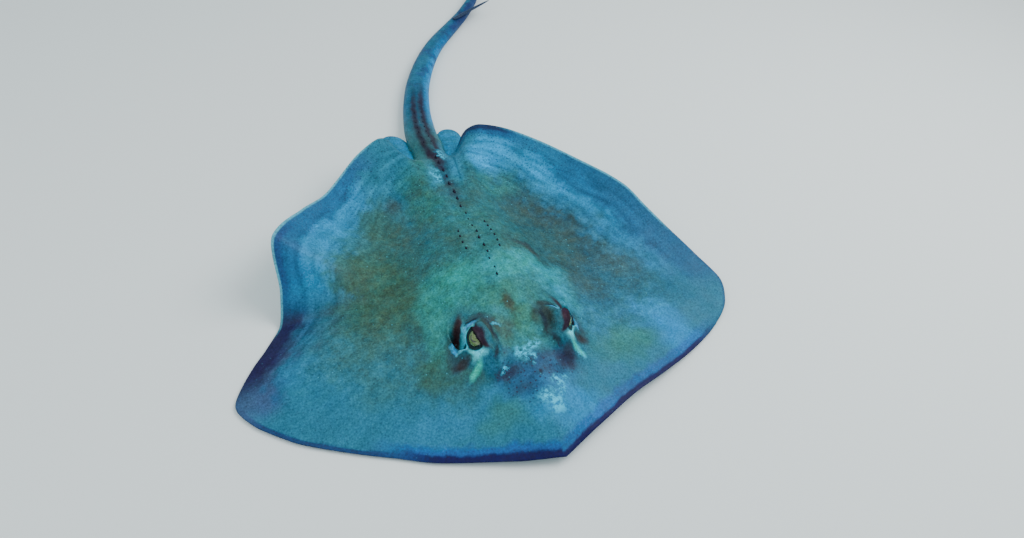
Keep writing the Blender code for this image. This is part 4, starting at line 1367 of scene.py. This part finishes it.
# %% Living eye
ARC_MIDDLE = (0.10, 0.20, 0.0)       # middle of the pupil's arc, ahead and above
eye_material, net, shader, place = new_material("living eye", {
    "Roughness": 0.18, "Coat Weight": 1.0, "Coat Roughness": 0.04})
ahead_of, above, off = [node(net, "Attribute", {"attribute_name": name}, "Fac")
                        for name in ("gaze_ahead", "gaze_up", "gaze_off")]
fibres = node(net, "TexNoise", {"Vector": place, "Scale": 1 / (1.6 * MM), "Detail": 4, "Roughness": 0.7})
iris = node(net, "ValToRGB", {"Fac": fibres, "stops": [
    (0.30, linear("#46582c")), (0.50, linear("#6d8448")), (0.72, linear("#8fa868"))]})
spot = node(net, "CombineXYZ", {"X": ahead_of, "Y": above})
arc = node(net, "VectorMath", {"operation": "DISTANCE", 0: spot, 1: ARC_MIDDLE}, "Value")
crescent = node(net, "ValToRGB", {"Fac": arc, "stops": [(0.28, 0.0), (0.31, 1.0), (0.43, 1.0), (0.46, 0.0)]})
low_half = node(net, "ValToRGB", {"Fac": above, "stops": [(0.0, 1.0), (0.12, 0.0)]})
pupil = node(net, "Math", {"operation": "MULTIPLY", 0: crescent, 1: low_half})
rim = node(net, "ValToRGB", {"Fac": off, "stops": [(0.52, 0.0), (0.56, 1.0)]})
tone = iris
for share, code in ((pupil, "#050408"), (rim, "#08070c")):
    tone = node(net, "Mix", {"data_type": "RGBA", "Factor_Float": share, "A_Color": tone,
                             "B_Color": linear(code)}, "Result_Color")
plug(shader, {"Base Color": tone})
print("nodes of the eye", len(net.nodes))

# %% [markdown]
# ## Eyeballs
# Each ball is turned so that its pole is the middle of the gaze. The bulge of the cornea fades out
# from there. The three gaze layers are stored on the vertices, where the material reads them.

# %% Make the eyeballs
CORNEA_BULGE = 0.035        # share of the radius
CORNEA_EDGE = (20.0, 46.0)  # degrees off the gaze over which the bulge runs out


def eyeball(side_name):
    """A ball that looks outward, with its gaze layers."""
    centre, look, ahead, up = (Vector(v) for v in eye_axes(SIDES[side_name]))
    bm = bmesh.new()
    bmesh.ops.create_uvsphere(bm, u_segments=72, v_segments=54, radius=1.0)
    gaze = []
    for vert in bm.verts:
        x, y, z = vert.co
        polar = math.degrees(math.acos(max(-1.0, min(1.0, z))))
        gaze.append((x, y, polar / 90))
        reach = EYE_RADIUS * (1 + CORNEA_BULGE * (1 - float(ease(np.array(polar), *CORNEA_EDGE))))
        vert.co = (centre + (ahead * x + up * y + look * z) * reach) * DISC_WIDTH
    mesh = mesh_from(bm, "eyeball_" + side_name)
    if ahead.cross(up).dot(look) < 0:
        mesh.flip_normals()
    add_layers(mesh, dict(zip(("gaze_ahead", "gaze_up", "gaze_off"), np.array(gaze).T)))
    obj = shown("eyeball_" + side_name, mesh)
    mesh.materials.append(eye_material)
    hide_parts("eye_" + side_name)


for side_name in SIDES:
    eyeball(side_name)
print("eyeball", round(2 * EYE_RADIUS * DISC_WIDTH / MM, 1), "mm across")

# %% [markdown]
# ## Thorns
# A row of blunt thorns stands along the spine, with a short row on each shoulder and small ones on
# the root of the tail. Each is a low cone of enamel that leans to the rear on an oval foot. Bump
# could hint at them, but they stand against the light, so they are real, set on the skin by dropping
# a plumb line. Those of the spine differ a little in size and place, and grow toward the hips.

# %% Set the thorns on the skin
MIDLINE = [0.030, 0.049, 0.069, 0.091, 0.112, 0.134, 0.160, 0.183, 0.206, 0.232, 0.258, 0.285, 0.313,
           0.342, 0.368, 0.395, 0.424, 0.455]
SHOULDERS = [(-0.036, 0.112), (-0.037, 0.132), (-0.036, 0.152), (-0.034, 0.170), (0.031, 0.104),
             (0.032, 0.120), (0.032, 0.138), (0.031, 0.156), (0.030, 0.172), (0.029, 0.190)]
TAIL_THORNS = [(sign * 0.009, 0.100 + 0.026 * k) for k in range(7) for sign in (-1, 1)]
SPINE_THORN = (4.8, 3.4, 3.0)        # width, height and lean in mm
SHOULDER_THORN = (4.0, 2.6, 2.2)
TAIL_THORN = (3.4, 2.2, 2.2)
THORN_CORNERS = 10
THORN_LEVELS = (-0.25, 0.0, 0.45, 0.8)


def drop_on(obj, x, y):
    """Point and normal of the skin under a plan place."""
    hit, spot, normal, _ = obj.ray_cast(Vector((x, y, 0.5)) * DISC_WIDTH, Vector((0, 0, -1)))
    return spot if hit else None, normal


def thorn(bm, x, y, sizes, grown=1.0):
    """One thorn on the skin, as a closed cone on an oval foot."""
    foot, normal = drop_on(skin, x, y)
    width, height, lean = (size * grown * MM for size in sizes)
    along = (Vector((0, 1, 0)) - normal * normal.y).normalized()
    across = normal.cross(along)
    rings = []
    for level in THORN_LEVELS:
        size = width / 2 * (1.0 - max(level, 0) ** 0.8 * 0.86)
        middle = foot + normal * (height * level) + along * (lean * max(level, 0) ** 1.4)
        ring = []
        for n in range(THORN_CORNERS):
            turn = 2 * math.pi * n / THORN_CORNERS
            oval = across * (size * math.cos(turn)) + along * (size * 1.7 * math.sin(turn))
            ring.append(bm.verts.new(middle + oval))
        rings.append(ring)
    bridge(bm, rings)
    tip = bm.verts.new(foot + normal * height + along * lean * 1.15)
    for n in range(THORN_CORNERS):
        bm.faces.new((rings[-1][n], rings[-1][(n + 1) % THORN_CORNERS], tip))
    bm.faces.new(rings[0][::-1])


print("places for thorns", len(MIDLINE) + len(SHOULDERS) + len(TAIL_THORNS))

# %% [markdown]
# ## Plant the thorns
# Enamel is nearly black here and only a little glossy. The same kind of finish, in another colour,
# serves the sting, so it is made by one function.

# %% Plant the thorns and give them their enamel
def hard_material(name, settings, size_mm, octaves, stops):
    """Enamel or dentine: a hard finish with one fine noise in its colour."""
    material, net, shader, place = new_material(name, settings)
    grain = node(net, "TexNoise", {"Vector": place, "Scale": 1 / (size_mm * MM), "Detail": octaves,
                                   "Roughness": 0.6})
    tones = [(position, linear(code)) for position, code in stops]
    plug(shader, {"Base Color": node(net, "ValToRGB", {"Fac": grain, "stops": tones})})
    return material


bpy.context.view_layer.update()
bm = bmesh.new()
for number, y in enumerate(MIDLINE):
    grown = (1 + 0.25 * math.sin(5.3 * number)) * (0.85 + 0.60 * float(ease(np.array(y), 0.25, 0.38)))
    thorn(bm, 0.0016 * math.sin(2.3 * number), y + 0.002 * math.sin(4.1 * number), SPINE_THORN, grown)
for x, y in SHOULDERS:
    thorn(bm, x, y, SHOULDER_THORN)
for x, distance in TAIL_THORNS:
    centre = tail_frame(np.array(distance))[0]
    thorn(bm, centre[0] + x, centre[1], TAIL_THORN)
bmesh.ops.recalc_face_normals(bm, faces=bm.faces)
thorns = shown("thorns", mesh_from(bm, "thorns"))
thorns.data.materials.append(hard_material("dark enamel of thorns", {
    "Roughness": 0.45, "Specular IOR Level": 0.15}, 1.5, 4, [(0.35, "#06061a"), (0.65, "#12102c")]))
print("vertices of the thorns", len(thorns.data.vertices))

# %% [markdown]
# ## The sting
# The sting is a flattened, pointed spine of hard dentine with backward barbs along both edges and a
# groove down its upper face. It lies over the tail and swings out to one side. Its section is
# carried along its length, three times for each barb, so that the barbs are cut into the edges.

# %% Make the sting
STING_ROOT = 0.79
STING_LENGTH = 0.160
STING_WIDTH = 0.0140
STING_THICKNESS = 0.0055
STING_GAP = 0.0008          # between the root of the sting and the top of the tail
STING_SWING = math.radians(19)
STING_LIFT = math.radians(4)
BARBS = 42
BARB_STEPS = ((0.0, 0.80), (0.72, 1.0), (0.98, 0.97))        # (way along the barb, share of the width)
SECTION = [(-1.0, 0.0), (-0.62, 0.62), (-0.22, 1.0), (0.0, 0.72), (0.22, 1.0), (0.62, 0.62), (1.0, 0.0),
           (0.55, -0.75), (0.0, -1.0), (-0.55, -0.75)]
FACE_WIDTH = 0.86           # width of the blade's faces between its barbed edges

centre, side_way, _, half_height = tail_frame(np.array(STING_ROOT))
side_way = Vector(side_way)
forward = Vector((-side_way.y, side_way.x, 0.0))
start = Vector(centre) + Vector((0, 0, float(half_height) + STING_THICKNESS / 2 + STING_GAP))
heading = forward * math.cos(STING_SWING) + side_way * math.sin(STING_SWING)
across = Vector((heading.y, -heading.x, 0.0))
bm = bmesh.new()
rings = []
for barb in range(BARBS):
    for share, width in BARB_STEPS:
        u = (barb + share) / BARBS
        grow = 0.8 + 0.2 * float(ease(np.array(u), 0.0, 0.15))
        taper = math.sqrt(max(1.0 - u ** 2.6, 0.0004)) * grow
        barbed = 1 - (1 - width) * float(ease(np.array(u), 0.06, 0.20))
        middle = start + heading * (STING_LENGTH * u)
        middle.z += STING_LENGTH * u * math.tan(STING_LIFT)
        ring = []
        for x, z in SECTION:
            flank = across * (x * STING_WIDTH / 2 * taper * (barbed if abs(x) == 1 else FACE_WIDTH))
            rise = Vector((0, 0, z * STING_THICKNESS / 2 * taper))
            ring.append(bm.verts.new((middle + flank + rise) * DISC_WIDTH))
        rings.append(ring)
bridge(bm, rings)
bm.faces.new(rings[0][::-1])
bm.faces.new(rings[-1])
bmesh.ops.recalc_face_normals(bm, faces=bm.faces)
sting = shown("sting_blade", mesh_from(bm, "sting_blade"), smooth=False)
sting.data.materials.append(hard_material("dentine of the sting", {
    "Roughness": 0.45, "Specular IOR Level": 0.25}, 6, 5, [(0.30, "#10203e"), (0.70, "#213e5c")]))
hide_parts("sting")
print("sting is", round(STING_LENGTH * DISC_WIDTH / MM), "mm long with", 2 * BARBS, "barbs")

# %% [markdown]
# ## Stage, light and camera
# A plain pale floor and soft light from high over the animal's left side, with a weaker fill from
# its right. Large lamps give the soft edge that light has under water. The camera looks down at 45
# degrees from ahead of the animal's right side, and is rolled a little.

# %% Floor and lights
FLOOR_REACH = 30
LAMPS = [          # (name, place, aimed at, size in m, watts, colour)
    ("key", (1.7, 0.1, 2.3), (0, 0.05, 0), 1.8, 60, (1.0, 1.0, 1.0)),
    ("fill", (-1.3, -0.2, 2.4), (0, 0.1, 0), 2.2, 24, (0.92, 0.97, 1.0)),
]
floor_mesh = bpy.data.meshes.new("floor")
floor_corners = [(x * FLOOR_REACH, y * FLOOR_REACH, 0) for x, y in ((-1, -1), (1, -1), (1, 1), (-1, 1))]
floor_mesh.from_pydata(floor_corners, [], [(0, 1, 2, 3)])
floor = add_object("floor", floor_mesh)
floor_material = new_material("matt painted floor", {"Base Color": linear("#eef6f6"), "Roughness": 0.9})[0]
floor_mesh.materials.append(floor_material)
floor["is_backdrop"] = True
for name, lamp_place, target, size, watts, colour in LAMPS:
    lamp = bpy.data.lights.new(name, "AREA")
    lamp.size, lamp.energy, lamp.color = size, watts, colour
    aim = (Vector(target) - Vector(lamp_place)).to_track_quat("-Z", "Y")
    lamp_object = add_object(name, lamp)
    lamp_object.matrix_world = Matrix.Translation(Vector(lamp_place)) @ aim.to_matrix().to_4x4()
    lamp_object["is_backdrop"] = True
world = bpy.data.worlds.new("soft studio")
world.use_nodes = True
background = next(n for n in world.node_tree.nodes if n.type == "BACKGROUND")
plug(background, {"Color": (0.80, 0.90, 0.94), "Strength": 0.68})
bpy.context.scene.world = world
print("lamps", len(LAMPS))

# %% [markdown]
# ## Camera
# The camera is placed by its direction, its distance and the point it looks at, and then rolled
# about its own line of sight. A fairly wide lens from near by draws the head large.

# %% Camera
AZIMUTH, ELEVATION, ROLL = math.radians(-25.72), math.radians(45.11), math.radians(8.305)
TARGET = Vector((0.0663, 0.1049, 0.040)) * DISC_WIDTH
DISTANCE = 1.5798 * DISC_WIDTH
backward = Vector((math.sin(AZIMUTH) * math.cos(ELEVATION), -math.cos(AZIMUTH) * math.cos(ELEVATION),
                   math.sin(ELEVATION)))
level = (-backward).cross(Vector((0, 0, 1))).normalized()
upright = level.cross(-backward)
right = level * math.cos(ROLL) + upright * math.sin(ROLL)
top = -level * math.sin(ROLL) + upright * math.cos(ROLL)
camera_data = bpy.data.cameras.new("camera")
camera_data.sensor_width = 36.0
camera_data.lens = 26.72
camera_data.clip_start = 0.01
camera = add_object("camera", camera_data)
placing = Matrix((right, top, backward)).transposed().to_4x4()
placing.translation = TARGET + backward * DISTANCE
camera.matrix_world = placing
bpy.context.scene.camera = camera
print("camera stands", round(placing.translation.z, 2), "m over the floor")

# %% [markdown]
# ## Sizes
# The finished animal has to fill the same box as the solids, or it would no longer be life size. Both
# boxes are written down for comparison.

# %% Sizes of the solids and of the finished animal
bpy.context.view_layer.update()
low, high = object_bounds()
for what, size in (("solids", cad_high - cad_low), ("visual", high - low)):
    print(what, [round(x / MM, 1) for x in size])
